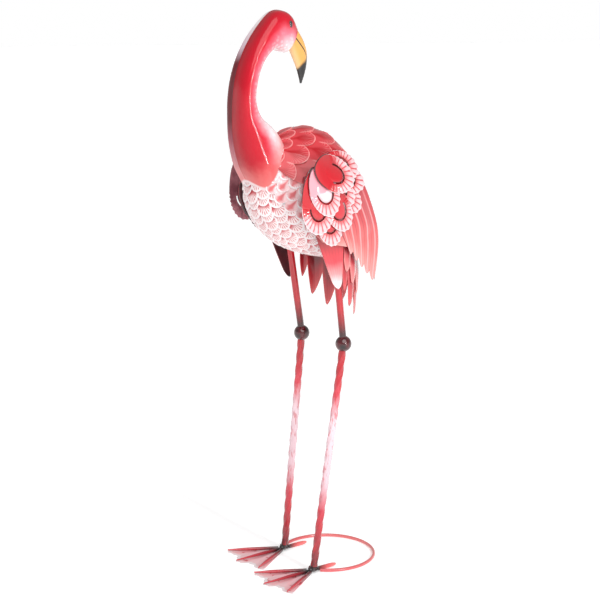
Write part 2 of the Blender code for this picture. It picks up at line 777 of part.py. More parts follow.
def bar_rings(start, end, width, twists, count):
    """Square rings from start to end that turn about the bar's axis."""
    axis = (end - start).normalized()
    across = SIDEWAYS - axis * SIDEWAYS.dot(axis)
    across.normalize()
    other = axis.cross(across)
    rings = []
    for k in range(count + 1):
        centre = start.lerp(end, k / count)
        turn = 2.0 * math.pi * twists * k / count
        ring = []
        for corner in range(4):
            angle = turn + math.pi / 4.0 + corner * math.pi / 2.0
            ring.append(centre + (across * math.cos(angle) + other * math.sin(angle)) * width / math.sqrt(2.0))
        rings.append(ring)
    return rings


def ball(name, centre, radius, segments, rings):
    work = bmesh.new()
    bmesh.ops.create_uvsphere(work, u_segments=segments, v_segments=rings, radius=radius)
    mesh = bpy.data.meshes.new(name)
    work.to_mesh(mesh)
    work.free()
    obj = bpy.data.objects.new(name, mesh)
    obj.location = centre
    return obj


def round_rings(start, end, radius, count=10):
    axis = (end - start).normalized()
    across = (SIDEWAYS - axis * SIDEWAYS.dot(axis)).normalized()
    other = axis.cross(across)
    rings = []
    for centre in (start, end):
        ring = []
        for i in range(count):
            angle = 2.0 * math.pi * i / count
            ring.append(centre + (across * math.cos(angle) + other * math.sin(angle)) * radius)
        rings.append(ring)
    return rings


def make_leg(model, side_name, side, hip, knee, ankle, body_cutter):
    knee_point = Vector((side * knee[0] * SHARE, knee[1] * SHARE, KNEE_HEIGHT))
    ankle_top = SHEET + FIT_GAP + TOE_ROD + FIT_GAP
    ankle_point = Vector((side * ankle[0] * SHARE, ankle[1] * SHARE, ankle_top))
    hip_x, hip_y = side * hip[0] * SHARE, hip[1] * SHARE
    hip_point = Vector((hip_x, hip_y, body_underside(hip_x, hip_y, 0.0) + UPPER_LEG_ROD))
    model.add(ball(f"knee_ball_{side_name}", knee_point, KNEE_BALL / 2.0, 12, 6), BLACK_RED)
    socket = model.add_cutter(ball(f"socket_{side_name}", knee_point, KNEE_BALL / 2.0 + FIT_GAP, 12, 6))
    rings = bar_rings(ankle_point, knee_point, LEG_BAR, TWISTS, TWIST_RINGS)
    for corner in rings[0]:
        corner.z = ankle_top
    lower = loft(f"lower_leg_{side_name}", rings)
    cut(model.add(lower, ROSE), socket)
    upper = loft(f"upper_leg_{side_name}", round_rings(knee_point, hip_point, UPPER_LEG_ROD / 2.0))
    model.add(upper, SALMON)
    cut(upper, socket)
    cut(upper, body_cutter)
    make_foot(model, side_name, ankle_point)


def toe_direction(degrees):
    angle = math.radians(degrees + FOOT_YAW)
    return Vector((math.sin(angle), -math.cos(angle), 0.0))


def make_foot(model, side_name, ankle):
    centre = Vector((ankle.x, ankle.y, SHEET + FIT_GAP + TOE_ROD / 2.0))
    reach = TOE_LENGTH * SHARE
    front = toe_direction(0.0)
    steps = 3
    heel = centre - front * HEEL_LENGTH * SHARE
    spine = [heel.lerp(centre + front * reach, i / steps) for i in range(steps + 1)]
    model.add(rod(f"toe_middle_and_heel_{side_name}", spine, TOE_ROD, TOE_TAPER), SALMON)
    splay = math.radians(TOE_SPLAY)
    clear = (TOE_ROD / 2.0 * (1.0 + math.cos(splay)) + FIT_GAP) / math.sin(splay)
    side = math.copysign(1.0, ankle.x)
    for toe, angle in (("outer", TOE_SPLAY * side), ("inner", -TOE_SPLAY * side)):
        way = toe_direction(angle)
        points = [centre + way * (clear + (reach - clear) * i / steps) for i in range(steps + 1)]
        model.add(rod(f"toe_{toe}_{side_name}", points, TOE_ROD, TOE_TAPER), SALMON)
    foot_web(model, side_name, Vector((ankle.x, ankle.y, 0.0)))


def foot_web(model, side_name, centre):
    """Flat sheet on the ground under the three front toes, scalloped between them."""
    columns, rows = 12, 1
    margin = 5.0
    outer, inner = [], []
    for r in range(rows + 1):
        top, under = [], []
        for c in range(columns + 1):
            f = c / columns
            angle = -TOE_SPLAY - margin + 2.0 * (TOE_SPLAY + margin) * f
            between = math.sin(math.pi * 2.0 * max(0.0, min(1.0, (angle + TOE_SPLAY) / (2.0 * TOE_SPLAY)))) ** 2
            far = TOE_LENGTH * SHARE * (WEB_REACH - WEB_SCALLOP * between)
            near = TOE_ROD
            point = centre + toe_direction(angle) * (near + (far - near) * r / rows)
            under.append(point.copy())
            top.append(point + Vector((0.0, 0.0, SHEET)))
        outer.append(top)
        inner.append(under)
    model.add(plate_between(f"foot_web_{side_name}", outer, inner), ROSE)


def ground_ring(model):
    """Open ring of rod on the ground, from ankle to ankle behind the feet."""
    centre = Vector((-4.0 * SHARE, RING_CENTRE * SHARE, RING_ROD / 2.0))
    radius = RING_RADIUS * SHARE
    clear = TOE_ROD / 2.0 + RING_ROD / 2.0 + LEG_BAR / 2.0
    ends = []
    for name, side, hip, knee, ankle in LEGS:
        x, y = side * ankle[0] * SHARE - centre.x, ankle[1] * SHARE - centre.y
        angle = math.atan2(y, x)
        if side < 0.0:
            angle += 2.0 * math.pi
        ends.append(angle + side * clear / radius)
    points = []
    for i in range(RING_POINTS):
        angle = ends[0] + (ends[1] - ends[0]) * i / (RING_POINTS - 1)
        points.append(centre + Vector((math.cos(angle), math.sin(angle), 0.0)) * radius)
    model.add(rod("ground_ring", points, RING_ROD), SALMON)


def footprint_centre(model):
    """Middle of the figure's box, seen from above."""
    depsgraph = bpy.context.evaluated_depsgraph_get()
    places = []
    for obj in model.parts.objects:
        if obj.type == "EMPTY":
            continue
        piece = obj.evaluated_get(depsgraph)
        places += [piece.matrix_world @ vertex.co for vertex in piece.to_mesh().vertices]
        piece.to_mesh_clear()
    across = [place.x for place in places]
    along = [place.y for place in places]
    return Vector((min(across) + max(across), min(along) + max(along), 0.0)) / 2.0


def main():
    model = Model()
    make_body(model)
    make_neck(model)
    make_beak(model)
    for side_name, side in (("left", 1.0), ("right", -1.0)):
        for name, tip, half_width, layer, set_back in PETALS:
            wing_plate(model, name, side_name, side, tip, half_width, layer, set_back)
        wing_base(model, side_name, side)
        thigh_feather(model, side_name, side)
    inner_edge = tail_edge(TAIL_INNER, TAIL_INNER_NOTCHES, -TAIL_INNER[0][0])
    outer_edge = tail_edge(TAIL_OUTER, TAIL_OUTER_NOTCHES, -TAIL_OUTER[0][0])
    tail_fan(model, "tail_fan_inner", inner_edge, 0.0, MAROON)
    tail_fan(model, "tail_fan_outer", outer_edge, 2.0 * SHEET + FIT_GAP, SALMON)
    body_cutter = model.add_cutter(loft("belly_with_gap", belly_rings(2.0 * FIT_GAP)))
    for side_name, side, hip, knee, ankle in LEGS:
        make_leg(model, side_name, side, hip, knee, ankle, body_cutter)
    ground_ring(model)
    model.stand.location = -footprint_centre(model)


main()
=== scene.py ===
"""Garden flamingo of painted sheet steel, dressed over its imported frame.

The bird looks along -Y, its left side is +X and the ground is z = 0. Shapes are drawn in metres, most of them
from places in the bird's side view in millimetres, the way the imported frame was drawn.
"""
import math

import bmesh
import bpy
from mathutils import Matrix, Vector


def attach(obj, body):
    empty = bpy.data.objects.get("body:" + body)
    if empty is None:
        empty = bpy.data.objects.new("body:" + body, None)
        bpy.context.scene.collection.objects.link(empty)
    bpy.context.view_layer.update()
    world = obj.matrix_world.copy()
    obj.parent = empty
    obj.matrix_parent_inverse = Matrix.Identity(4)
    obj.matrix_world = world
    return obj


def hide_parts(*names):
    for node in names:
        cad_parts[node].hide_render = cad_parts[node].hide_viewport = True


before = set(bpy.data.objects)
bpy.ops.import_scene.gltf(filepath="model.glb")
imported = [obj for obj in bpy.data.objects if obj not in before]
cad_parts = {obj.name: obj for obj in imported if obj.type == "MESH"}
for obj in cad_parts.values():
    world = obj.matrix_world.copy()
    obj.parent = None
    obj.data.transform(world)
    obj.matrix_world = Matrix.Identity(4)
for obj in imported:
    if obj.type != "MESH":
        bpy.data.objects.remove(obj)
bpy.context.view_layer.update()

bl_info = {
    "name": "Garden flamingo",
    "version": (1, 0, 0),
    "blender": (4, 5, 0),
    "location": "View3D > Sidebar > Flamingo",
    "description": "Enamelled sheet steel flamingo, built piece by piece over its packed frame",
    "category": "Add Mesh",
}

MM = 0.001
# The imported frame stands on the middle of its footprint, 9 mm in front of where the side view has its zero
FRAME_SHIFT = Vector((0.0, -0.009, 0.0))
SIDES = (("left", 1.0), ("right", -1.0))
SET_BACK = {"left": 0.0, "right": -11.0}

# Body. Angles run from 0 at the breast to 180 at the tail, and round it from 0 at the top
BODY_CENTRE = Vector((0.0, 30.4, 671.4)) * MM
HALF_LENGTH = 0.1447
HALF_WIDTH = 0.082
HALF_DEPTH = 0.0982
TILT = math.radians(40.6)
FULLNESS = 1.86
TAIL_TAPER = 0.34
BACK_SLOPE = 0.22
BACK_SLOPE_START = -0.45
BACK_SLOPE_POWER = 1.3
ALONG = Vector((0.0, math.cos(TILT), -math.sin(TILT)))
UPWARD = Vector((0.0, math.sin(TILT), math.cos(TILT)))
SIDEWAYS = Vector((1.0, 0.0, 0.0))
BACK_EDGE = 97.0
BACK_FRONT_DROP = 9.0
BACK_TUCK = 24.0
BACK_TUCK_END = 68.7
BACK_START = 11.0
BACK_END = 158.0
BACK_ROWS = 9
BACK_FEATHERS = 7
BELLY_START = 14.0
BELLY_END = 160.0
BELLY_FROM = 84.0
BELLY_SPAN = 192.0
FLANK_TOP = 92.0
FLANK_LOW = 132.0
FLANK_RISE = 14.0
FLANK_START = 33.0
FLANK_END = 82.0
FIT = 0.0003

# Neck and head: outer seam, inner line and half width of each section, from the breast to the beak
NECK = (
    ((-108.0, 713.0), (-34.0, 698.0), 46.0),
    ((-121.0, 737.0), (-38.0, 746.0), 49.0),
    ((-130.0, 766.0), (-49.0, 783.0), 45.5),
    ((-134.0, 792.0), (-67.0, 806.0), 41.0),
    ((-135.0, 820.0), (-88.0, 824.0), 36.0),
    ((-134.0, 850.0), (-98.0, 849.0), 34.0),
    ((-129.5, 883.0), (-96.0, 875.0), 33.0),
    ((-119.5, 917.0), (-88.5, 900.0), 32.0),
    ((-104.0, 948.0), (-76.0, 921.0), 31.5),
    ((-83.0, 976.5), (-59.5, 934.0), 30.5),
    ((-60.0, 998.0), (-43.5, 932.0), 28.0),
    ((-38.0, 1000.0), (-32.0, 930.0), 24.0),
    ((-21.5, 991.0), (-26.0, 933.0), 19.0),
    ((-9.0, 971.0), (-22.0, 938.0), 12.5),
)
BEAK = (
    ((-11.0, 974.0), (-24.0, 940.0), 10.5),
    ((4.5, 952.0), (-16.0, 922.0), 9.0),
    ((12.0, 933.0), (-9.5, 908.0), 7.6),
    ((13.0, 913.0), (-5.5, 897.0), 5.8),
    ((8.5, 893.0), (-2.0, 885.0), 3.6),
    ((3.0, 877.0), (-0.5, 877.0), 0.9),
)
NECK_SQUARENESS = 2.6
BEAK_SQUARENESS = 2.2
EYE = (-32.0, 976.0)
EYE_SIZE = Vector((0.0018, 0.0036, 0.0062))

# Wings
SHOULDER = (-46.0, 744.0)
WING_OUT = 124.0
WING_LEVEL = 690.0
BASE_LAYER = 9.4
PETAL_TIP = 44.0
TONGUE = 19.0
TONGUE_WIDTH = 14.0
TONGUE_DOME = 0.0016
TONGUE_STATIONS = (0.25, 0.5, 0.75, 0.92, 1.0)
FAN_STATIONS = (0.0, 0.06, 0.2, 0.36, 0.52, 0.68, 0.84, 0.95, 1.0)
SLOT_WIDTH = 2.6
SLOT_ANGLE = 100.0
# Label, tip, half width, layer counted inwards and set-back of the root
PETALS = (
    ("front_1", (-30.0, 629.0), 31.0, 3.0, 0.0),
    ("front_2", (-6.0, 661.0), 28.0, 2.0, 0.0),
    ("front_3", (41.0, 717.0), 31.0, 0.3, 0.0),
    ("middle_1", (66.0, 737.0), 26.0, 4.0, 34.0),
    ("middle_2", (45.0, 677.0), 26.0, 5.0, 34.0),
    ("middle_3", (33.0, 633.0), 27.0, 4.0, 34.0),
    ("middle_4", (8.0, 607.0), 27.0, 6.0, 34.0),
    ("rear_1", (78.0, 706.0), 25.0, 7.0, 40.0),
    ("rear_2", (66.0, 665.0), 25.0, 8.0, 40.0),
)
FLIGHT_FRONT = ((-40.0, 724.0), (-58.0, 690.0), (-48.0, 645.0), (-14.0, 606.0))
FLIGHT_INNER = ((-8.0, 728.0), (-14.0, 692.0), (18.0, 640.0), (44.0, 592.0))
FLIGHT_OUTER = ((18.0, 748.0), (62.0, 733.0), (104.0, 660.0), (121.0, 602.0), (118.0, 524.0))
FLIGHT_FEATHERS = 5
FLIGHT_NOTCH = 12.0

# Thigh feathers and tail
THIGH_ROOT = (10.0, 634.0)
THIGH_TIP = (72.0, 34.0, 523.0)
THIGH_WIDE = 29.0
THIGH_NARROW = 7.5
TAIL_CENTRE = 24.0
TAIL_HALF_WIDTH = 74.0
TAIL_HALF_DEPTH = 84.0
TAIL_END = 76.0
TAIL_INNER = (
    (-76.0, 522.0), (-66.0, 488.0), (-46.0, 468.0), (-24.0, 479.0),
    (0.0, 470.0), (24.0, 466.0), (46.0, 486.0), (66.0, 517.0),
)
TAIL_INNER_NOTCHES = (548.0, 544.0, 528.0, 520.0, 540.0, 512.0, 526.0, 544.0, 550.0)
TAIL_OUTER = (
    (-76.0, 556.0), (-64.0, 543.0), (-48.0, 530.0), (-26.0, 516.0),
    (0.0, 508.0), (26.0, 506.0), (48.0, 528.0), (64.0, 552.0),
)
TAIL_OUTER_NOTCHES = (572.0, 562.0, 556.0, 548.0, 546.0, 540.0, 546.0, 560.0, 574.0)
LOBE_PEAK = 0.30
TAIL_FANS = (
    ("inner", TAIL_INNER, TAIL_INNER_NOTCHES, 0.0, "enamel_maroon"),
    ("outer", TAIL_OUTER, TAIL_OUTER_NOTCHES, 0.0021, "enamel_salmon"),
)

# Legs, feet and the ring: hip, knee and ankle of each leg as (sideways, y)
KNEE_HEIGHT = 0.419
LEGS = (
    ("left", 1.0, (54.0, 36.0), (58.0, 55.0), (57.0, -7.0)),
    ("right", -1.0, (54.0, 7.0), (58.0, 40.0), (63.0, 5.0)),
)
FOOT_YAW = 3.5
TOE_SPLAY = 29.0
TOE_LENGTH = 0.108
HEEL_LENGTH = 0.050
FOOT_HEIGHT = 0.0012
WEB_ROOT = 0.008
WEB_PAST_TOES = 5.0
WEB_WALL = 0.0009
WELD_SIZE = Vector((0.0092, 0.0100, 0.0052))
WELD_HEIGHT = 0.0068
ROD_SIDES = 20
BAR_CORNER = 0.30
RING_CENTRE = Vector((-4.0, 62.0, 3.0)) * MM
RING_RADIUS = 0.088

# How far sheets stand off the body's skin
FLANK_LIFT = 0.0034
TAIL_LIFT = 0.0034
THIGH_LIFT = 0.0054
WING_LIFT = 0.0107
# Edges sharper than this are shaded as edges
SHARP_FROM = math.radians(42.0)

# Studio
FLOOR_REACH = 60.0
FLOOR_SHADES = ((0.985, 0.985, 0.985), (0.995, 0.995, 0.995))
FLOOR_GLOW = 0.26
CAMERA_LENS = 82.2
CAMERA_AZIMUTH = math.radians(58.0)
CAMERA_PITCH = math.radians(11.35)
CAMERA_DISTANCE = 2.4
CAMERA_HEIGHT = 0.976


def tint(red, green, blue):
    """A colour from display values of 0 to 255, in Blender's linear numbers."""
    return tuple(((c / 255.0 + 0.055) / 1.055) ** 2.4 for c in (red, green, blue))


def colour_property(name, description, shade):
    return bpy.props.FloatVectorProperty(name=name, description=description, default=shade, size=3,
                                         min=0.0, max=1.0, subtype="COLOR")


def length_property(name, description, size):
    return bpy.props.FloatProperty(name=name, description=description, default=size, min=0.0,
                                   subtype="DISTANCE", unit="LENGTH")


class FlamingoSizes(bpy.types.PropertyGroup):
    wall: length_property("Sheet thickness", "Thickness of every pressed sheet", 0.0009)
    feather_width: length_property("Belly feather width", "Width of one pressed belly feather", 0.0275)
    feather_length: length_property("Belly feather length", "Length of one pressed belly feather", 0.0290)
    row_step: length_property("Feather step", "How far a feather's tip stands off the row below", 0.0022)
    rib_height: length_property("Rib height", "Height of the pressed ribs in the wing petals", 0.0007)
    ribs: bpy.props.IntProperty(name="Ribs", description="Pressed ribs round a petal", default=26, min=4)
    leg_bar: length_property("Leg bar", "Width of the twisted square bar", 0.0120)
    leg_rod: length_property("Thigh rod", "Diameter of the rod above the knee", 0.0125)
    knee: length_property("Knee ball", "Diameter of the knee ball", 0.0290)
    toe_rod: length_property("Toe rod", "Diameter of the rods in the feet", 0.0060)
    ring_rod: length_property("Ring rod", "Diameter of the rod of the ground ring", 0.0060)
    twists: bpy.props.FloatProperty(name="Twists", description="Turns in each shank", default=4.0)


class FlamingoColours(bpy.types.PropertyGroup):
    red: colour_property("Red", "Glossy red of the tongues and of the shanks' dashes", tint(198, 18, 34))
    deep: colour_property("Deep red", "Shaded red of petals, feather strokes and blades", tint(150, 14, 30))
    pink: colour_property("Pink", "Pale pink of the streaks in the flight feathers", tint(250, 196, 198))
    # White also serves as painted light on the lower throat.
    white: colour_property("White", "Airbrushed white of rims and throat", tint(248, 236, 238))
    # On the petals' slots this black is painted shade round the gap.
    black: colour_property("Black", "Painted black of eyes, slots, beak tip and ankles", tint(22, 16, 18))
    ochre: colour_property("Ochre", "Beak", tint(226, 166, 82))


def sizes():
    return bpy.context.scene.flamingo_sizes


def colours():
    return bpy.context.scene.flamingo_colours


def smoothstep(low, high, value):
    t = min(1.0, max(0.0, (value - low) / (high - low)))
    return t * t * (3.0 - 2.0 * t)


def smooth_path(points, steps):
    """Points along a smooth curve through the given ones, as tuples of the same length."""
    rows = [points[0]] + list(points) + [points[-1]]
    path = []
    for i in range(len(points) - 1):
        p0, p1, p2, p3 = rows[i:i + 4]
        for k in range(steps):
            t = k / steps
            path.append(tuple(
                0.5 * (2 * b + (c - a) * t + (2 * a - 5 * b + 4 * c - d) * t ** 2
                       + (3 * b - a - 3 * c + d) * t ** 3)
                for a, b, c, d in zip(p0, p1, p2, p3)
            ))
    path.append(tuple(points[-1]))
    return path


def along_path(path, t):
    place = min(t * (len(path) - 1), len(path) - 1.0001)
    i = int(place)
    return tuple(a + (b - a) * (place - i) for a, b in zip(path[i], path[i + 1]))


# The body's skin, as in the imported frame

def girth(s):
    return max(0.0, 1.0 - abs(s) ** FULLNESS) ** (1.0 / FULLNESS)


def body_depth(s, above):
    s = max(-1.0, min(1.0, s))
    behind = max(0.0, s - BACK_SLOPE_START) if above else 0.0
    return HALF_DEPTH * (1.0 - TAIL_TAPER * s - BACK_SLOPE * behind ** BACK_SLOPE_POWER)


def body_point(s, degrees, lift=0.0):
    """A point of the skin: s from -1 at the breast to 1 at the tail, degrees round from the top to +X."""
    s = max(-0.9995, min(0.9995, s))
    turn = math.radians(degrees)
    g = girth(s)
    above = math.cos(turn) > 0.0
    depth = body_depth(s, above)
    slope = -math.copysign(abs(s) ** (FULLNESS - 1.0), s) * g ** (1.0 - FULLNESS)
    behind = max(0.0, s - BACK_SLOPE_START) if above else 0.0
    loss = TAIL_TAPER + BACK_SLOPE * BACK_SLOPE_POWER * behind ** (BACK_SLOPE_POWER - 1.0) * above
    taper = loss * HALF_DEPTH / depth * g * math.cos(turn) ** 2
    point = BODY_CENTRE + ALONG * (HALF_LENGTH * s)
    point += SIDEWAYS * (HALF_WIDTH * g * math.sin(turn)) + UPWARD * (depth * g * math.cos(turn))
    normal = SIDEWAYS * (math.sin(turn) / HALF_WIDTH) + UPWARD * (math.cos(turn) / depth)
    normal += ALONG * ((taper - slope) / HALF_LENGTH)
    return point + normal.normalized() * lift


def body_excess(point):
    """About how far a point lies outside the skin, in metres, or inside it where negative."""
    local = point - BODY_CENTRE
    s = local.dot(ALONG) / HALF_LENGTH
    up = local.dot(UPWARD) / body_depth(s, local.dot(UPWARD) > 0.0)
    side = local.x / HALF_WIDTH
    reach = (math.hypot(side, up) ** FULLNESS + abs(s) ** FULLNESS) ** (1.0 / FULLNESS)
    return (reach - 1.0) * HALF_WIDTH


def body_side(y, z, lift):
    """How far the body reaches sideways at a place in its side view, or 0 beside it."""
    local = Vector((0.0, y, z)) - BODY_CENTRE
    s = local.dot(ALONG) / (HALF_LENGTH + lift)
    if abs(s) >= 1.0:
        return 0.0
    up = local.dot(UPWARD) / (body_depth(s, local.dot(UPWARD) > 0.0) + lift)
    return (HALF_WIDTH + lift) * math.sqrt(max(0.0, girth(s) ** 2 - up ** 2))


def body_underside(x, y, lift):
    """Height of the body's underside at a place seen from below."""
    low, high = 0.50, 0.66
    for _ in range(30):
        z = (low + high) / 2.0
        if body_excess(Vector((x, y, z))) < lift:
            high = z
        else:
            low = z
    return low


def place_of(angle):
    return -math.cos(math.radians(angle))


def back_lift(degrees):
    return FIT + 0.00532 * smoothstep(50.0, FLANK_TOP - 8.0, abs(degrees))


# Making pieces

def material_named(name):
    material = bpy.data.materials.get(name)
    if material is None:
        raise RuntimeError(f"finish {name} is missing")
    return material


def in_scene(name, data):
    obj = bpy.data.objects.new(name, data)
    bpy.context.scene.collection.objects.link(obj)
    return obj


def kept_mesh(name, work):
    """Turns finished bmesh work into an object."""
    mesh = bpy.data.meshes.new(name)
    work.to_mesh(mesh)
    work.free()
    return in_scene(name, mesh)


def finish_piece(obj, finish, stands_for):
    """Smooths a piece, gives it its finish and puts it in the figure in place of its frame solids.

    A sheet keeps the finish of its hidden face, and a grown piece, with no finish named, has its own already.
    """
    if finish and len(obj.data.materials) == 2:
        obj.data.materials[0] = material_named(finish)
    elif finish:
        obj.data.materials.clear()
        obj.data.materials.append(material_named(finish))
    obj.data.shade_smooth()
    obj.data.set_sharp_from_angle(angle=SHARP_FROM)
    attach(obj, "root")
    if stands_for:
        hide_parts(*stands_for)
    return obj


def new_object(name, vertices, faces, uv=None, values=None):
    """A mesh object with its place in its mesh, a UV for each vertex and named values for each vertex."""
    mesh = bpy.data.meshes.new(name)
    mesh.from_pydata([tuple(v + FRAME_SHIFT) for v in vertices], [], faces)
    if uv:
        layer = mesh.uv_layers.new(name="UVMap")
        for loop in mesh.loops:
            layer.data[loop.index].uv = uv[loop.vertex_index]
    for key, numbers in (values or {}).items():
        attribute = mesh.attributes.new(key, "FLOAT", "POINT")
        attribute.data.foreach_set("value", numbers)
    mesh.update()
    return in_scene(name, mesh)


def turn_out(obj):
    """Turns a closed mesh's faces outwards."""
    work = bmesh.new()
    work.from_mesh(obj.data)
    bmesh.ops.recalc_face_normals(work, faces=work.faces)
    if work.calc_volume(signed=True) < 0.0:
        bmesh.ops.reverse_faces(work, faces=work.faces)
    work.to_mesh(obj.data)
    work.free()


def thicken(obj, thickness, way_out, back):
    """Gives a sheet its wall, with the finish named by back on the face that looks away from way_out."""
    facing = sum(face.area * face.normal.dot(way_out(face.center)) for face in obj.data.polygons)
    if facing < 0.0:
        obj.data.flip_normals()
    wall = obj.modifiers.new("wall", "SOLIDIFY")
    wall.thickness = thickness
    wall.offset = 0.0
    wall.material_offset = 1
    obj.data.materials.append(None)
    obj.data.materials.append(material_named(back))
    return obj


def grid_faces(rows, columns, wrap=False):
    faces = []
    for r in range(rows - 1):
        for c in range(columns if wrap else columns - 1):
            a, b = r * columns + c, r * columns + (c + 1) % columns
            faces.append((a, b, b + columns, a + columns))
    return faces


def loft(name, rings, uv=None, values=None):
    """A closed solid through rings with the same number of points."""
    count = len(rings[0])
    faces = grid_faces(len(rings), count, wrap=True)
    faces.append(tuple(reversed(range(count))))
    faces.append(tuple(range((len(rings) - 1) * count, len(rings) * count)))
    obj = new_object(name, [v for ring in rings for v in ring], faces, uv, values)
    turn_out(obj)
    return obj


def pressed_sheet(name, grid, uv, way_out, back="sheet_back_enamel"):
    """An open sheet from rows of points, thickened evenly."""
    points = [v for row in grid for v in row]
    obj = new_object(name, points, grid_faces(len(grid), len(grid[0])), uv)
    return thicken(obj, sizes().wall, way_out, back)


def sideways_out(side):
    return lambda point: SIDEWAYS * side


def closed_plate(name, outer, inner, uv, values=None):
    """A plate between two surfaces that are grids of the same size. The UV and values hold for both."""
    rows, columns = len(outer), len(outer[0])
    shift = rows * columns
    faces = grid_faces(rows, columns)
    faces += [tuple(shift + v for v in reversed(face)) for face in faces]
    rim = list(range(columns)) + [r * columns + columns - 1 for r in range(1, rows)]
    rim += [(rows - 1) * columns + c for c in range(columns - 2, -1, -1)]
    rim += [r * columns for r in range(rows - 2, 0, -1)]
    for a, b in zip(rim, rim[1:] + rim[:1]):
        faces.append((b, a, shift + a, shift + b))
    points = [v for row in outer for v in row] + [v for row in inner for v in row]
    both_sides = {key: numbers + numbers for key, numbers in (values or {}).items()}
    obj = new_object(name, points, faces, uv + uv, both_sides)
    turn_out(obj)
    return obj


# Geometry node trees

class Tree:
    """A geometry node tree with named inputs."""

    def __init__(self, name, inputs):
        self.group = bpy.data.node_groups.new(name, "GeometryNodeTree")
        self.group.interface.new_socket("Geometry", in_out="INPUT", socket_type="NodeSocketGeometry")
        for label, kind, default in inputs:
            socket = self.group.interface.new_socket(label, in_out="INPUT", socket_type=kind)
            if default is not None:
                socket.default_value = default
        self.group.interface.new_socket("Geometry", in_out="OUTPUT", socket_type="NodeSocketGeometry")
        self.inputs = self.group.nodes.new("NodeGroupInput").outputs
        self.output = self.group.nodes.new("NodeGroupOutput").inputs[0]

    def add(self, kind, links=(), **settings):
        node = self.group.nodes.new(kind)
        for key, value in settings.items():
            setattr(node, key, value)
        for socket, source in links:
            if isinstance(source, bpy.types.NodeSocket):
                self.group.links.new(source, node.inputs[socket])
            else:
                node.inputs[socket].default_value = source
        return node

    def times(self, first, second):
        return self.add("ShaderNodeMath", ((0, first), (1, second)), operation="MULTIPLY").outputs[0]

    def end(self, geometry):
        """Closes the tree with real geometry in its own material."""
        real = self.add("GeometryNodeRealizeInstances", ((0, geometry),))
        paint = self.add("GeometryNodeSetMaterial", (
            (0, real.outputs[0]), ("Material", self.inputs["Material"])))
        self.group.links.new(paint.outputs[0], self.output)


def grow(obj, tree, name, **values):
    """Runs a node tree on an object and keeps the result as a plain mesh object."""
    modifier = obj.modifiers.new("grow", "NODES")
    modifier.node_group = tree.group
    for item in tree.group.interface.items_tree:
        if item.in_out == "INPUT" and item.name.replace(" ", "_") in values:
            modifier[item.identifier] = values[item.name.replace(" ", "_")]
    depsgraph = bpy.context.evaluated_depsgraph_get()
    mesh = bpy.data.meshes.new_from_object(
        obj.evaluated_get(depsgraph), preserve_all_data_layers=True, depsgraph=depsgraph
    )
    bpy.data.objects.remove(obj, do_unlink=True)
    mesh.name = name
    return in_scene(name, mesh)


def feather_tree():
    """Places one feather on each point, with its face along normal_way and its tip along tip_way."""
    tree = Tree("Scale feathers", (
        ("Feather", "NodeSocketObject", None),
        ("Width", "NodeSocketFloat", 0.023),
        ("Length", "NodeSocketFloat", 0.025),
        ("Material", "NodeSocketMaterial", None),
        ("Seed", "NodeSocketInt", 3),
    ))
    ways = []
    for label in ("normal_way", "tip_way"):
        way = tree.add("GeometryNodeInputNamedAttribute", (("Name", label),), data_type="FLOAT_VECTOR")
        ways.append(way.outputs["Attribute"])
    face = tree.add("FunctionNodeAlignRotationToVector", (("Vector", ways[0]),), axis="Z")
    turned = tree.add("FunctionNodeAlignRotationToVector", (
        ("Rotation", face.outputs[0]), ("Vector", ways[1])), axis="Y", pivot_axis="Z")
    spread = tree.add("FunctionNodeRandomValue", ((2, 0.90), (3, 1.07), ("Seed", tree.inputs["Seed"])),
                      data_type="FLOAT")
    across = tree.times(tree.inputs["Width"], spread.outputs[1])
    down = tree.times(tree.inputs["Length"], spread.outputs[1])
    scale = tree.add("ShaderNodeCombineXYZ", ((0, across), (1, down), (2, 1.0)))
    blank = tree.add("GeometryNodeObjectInfo", ((0, tree.inputs["Feather"]),))
    points = tree.add("GeometryNodeMeshToPoints", ((0, tree.inputs["Geometry"]),))
    rows = tree.add("GeometryNodeInstanceOnPoints", (
        ("Points", points.outputs[0]), ("Instance", blank.outputs["Geometry"]),
        ("Rotation", turned.outputs[0]), ("Scale", scale.outputs[0])))
    tree.end(rows.outputs[0])
    return tree


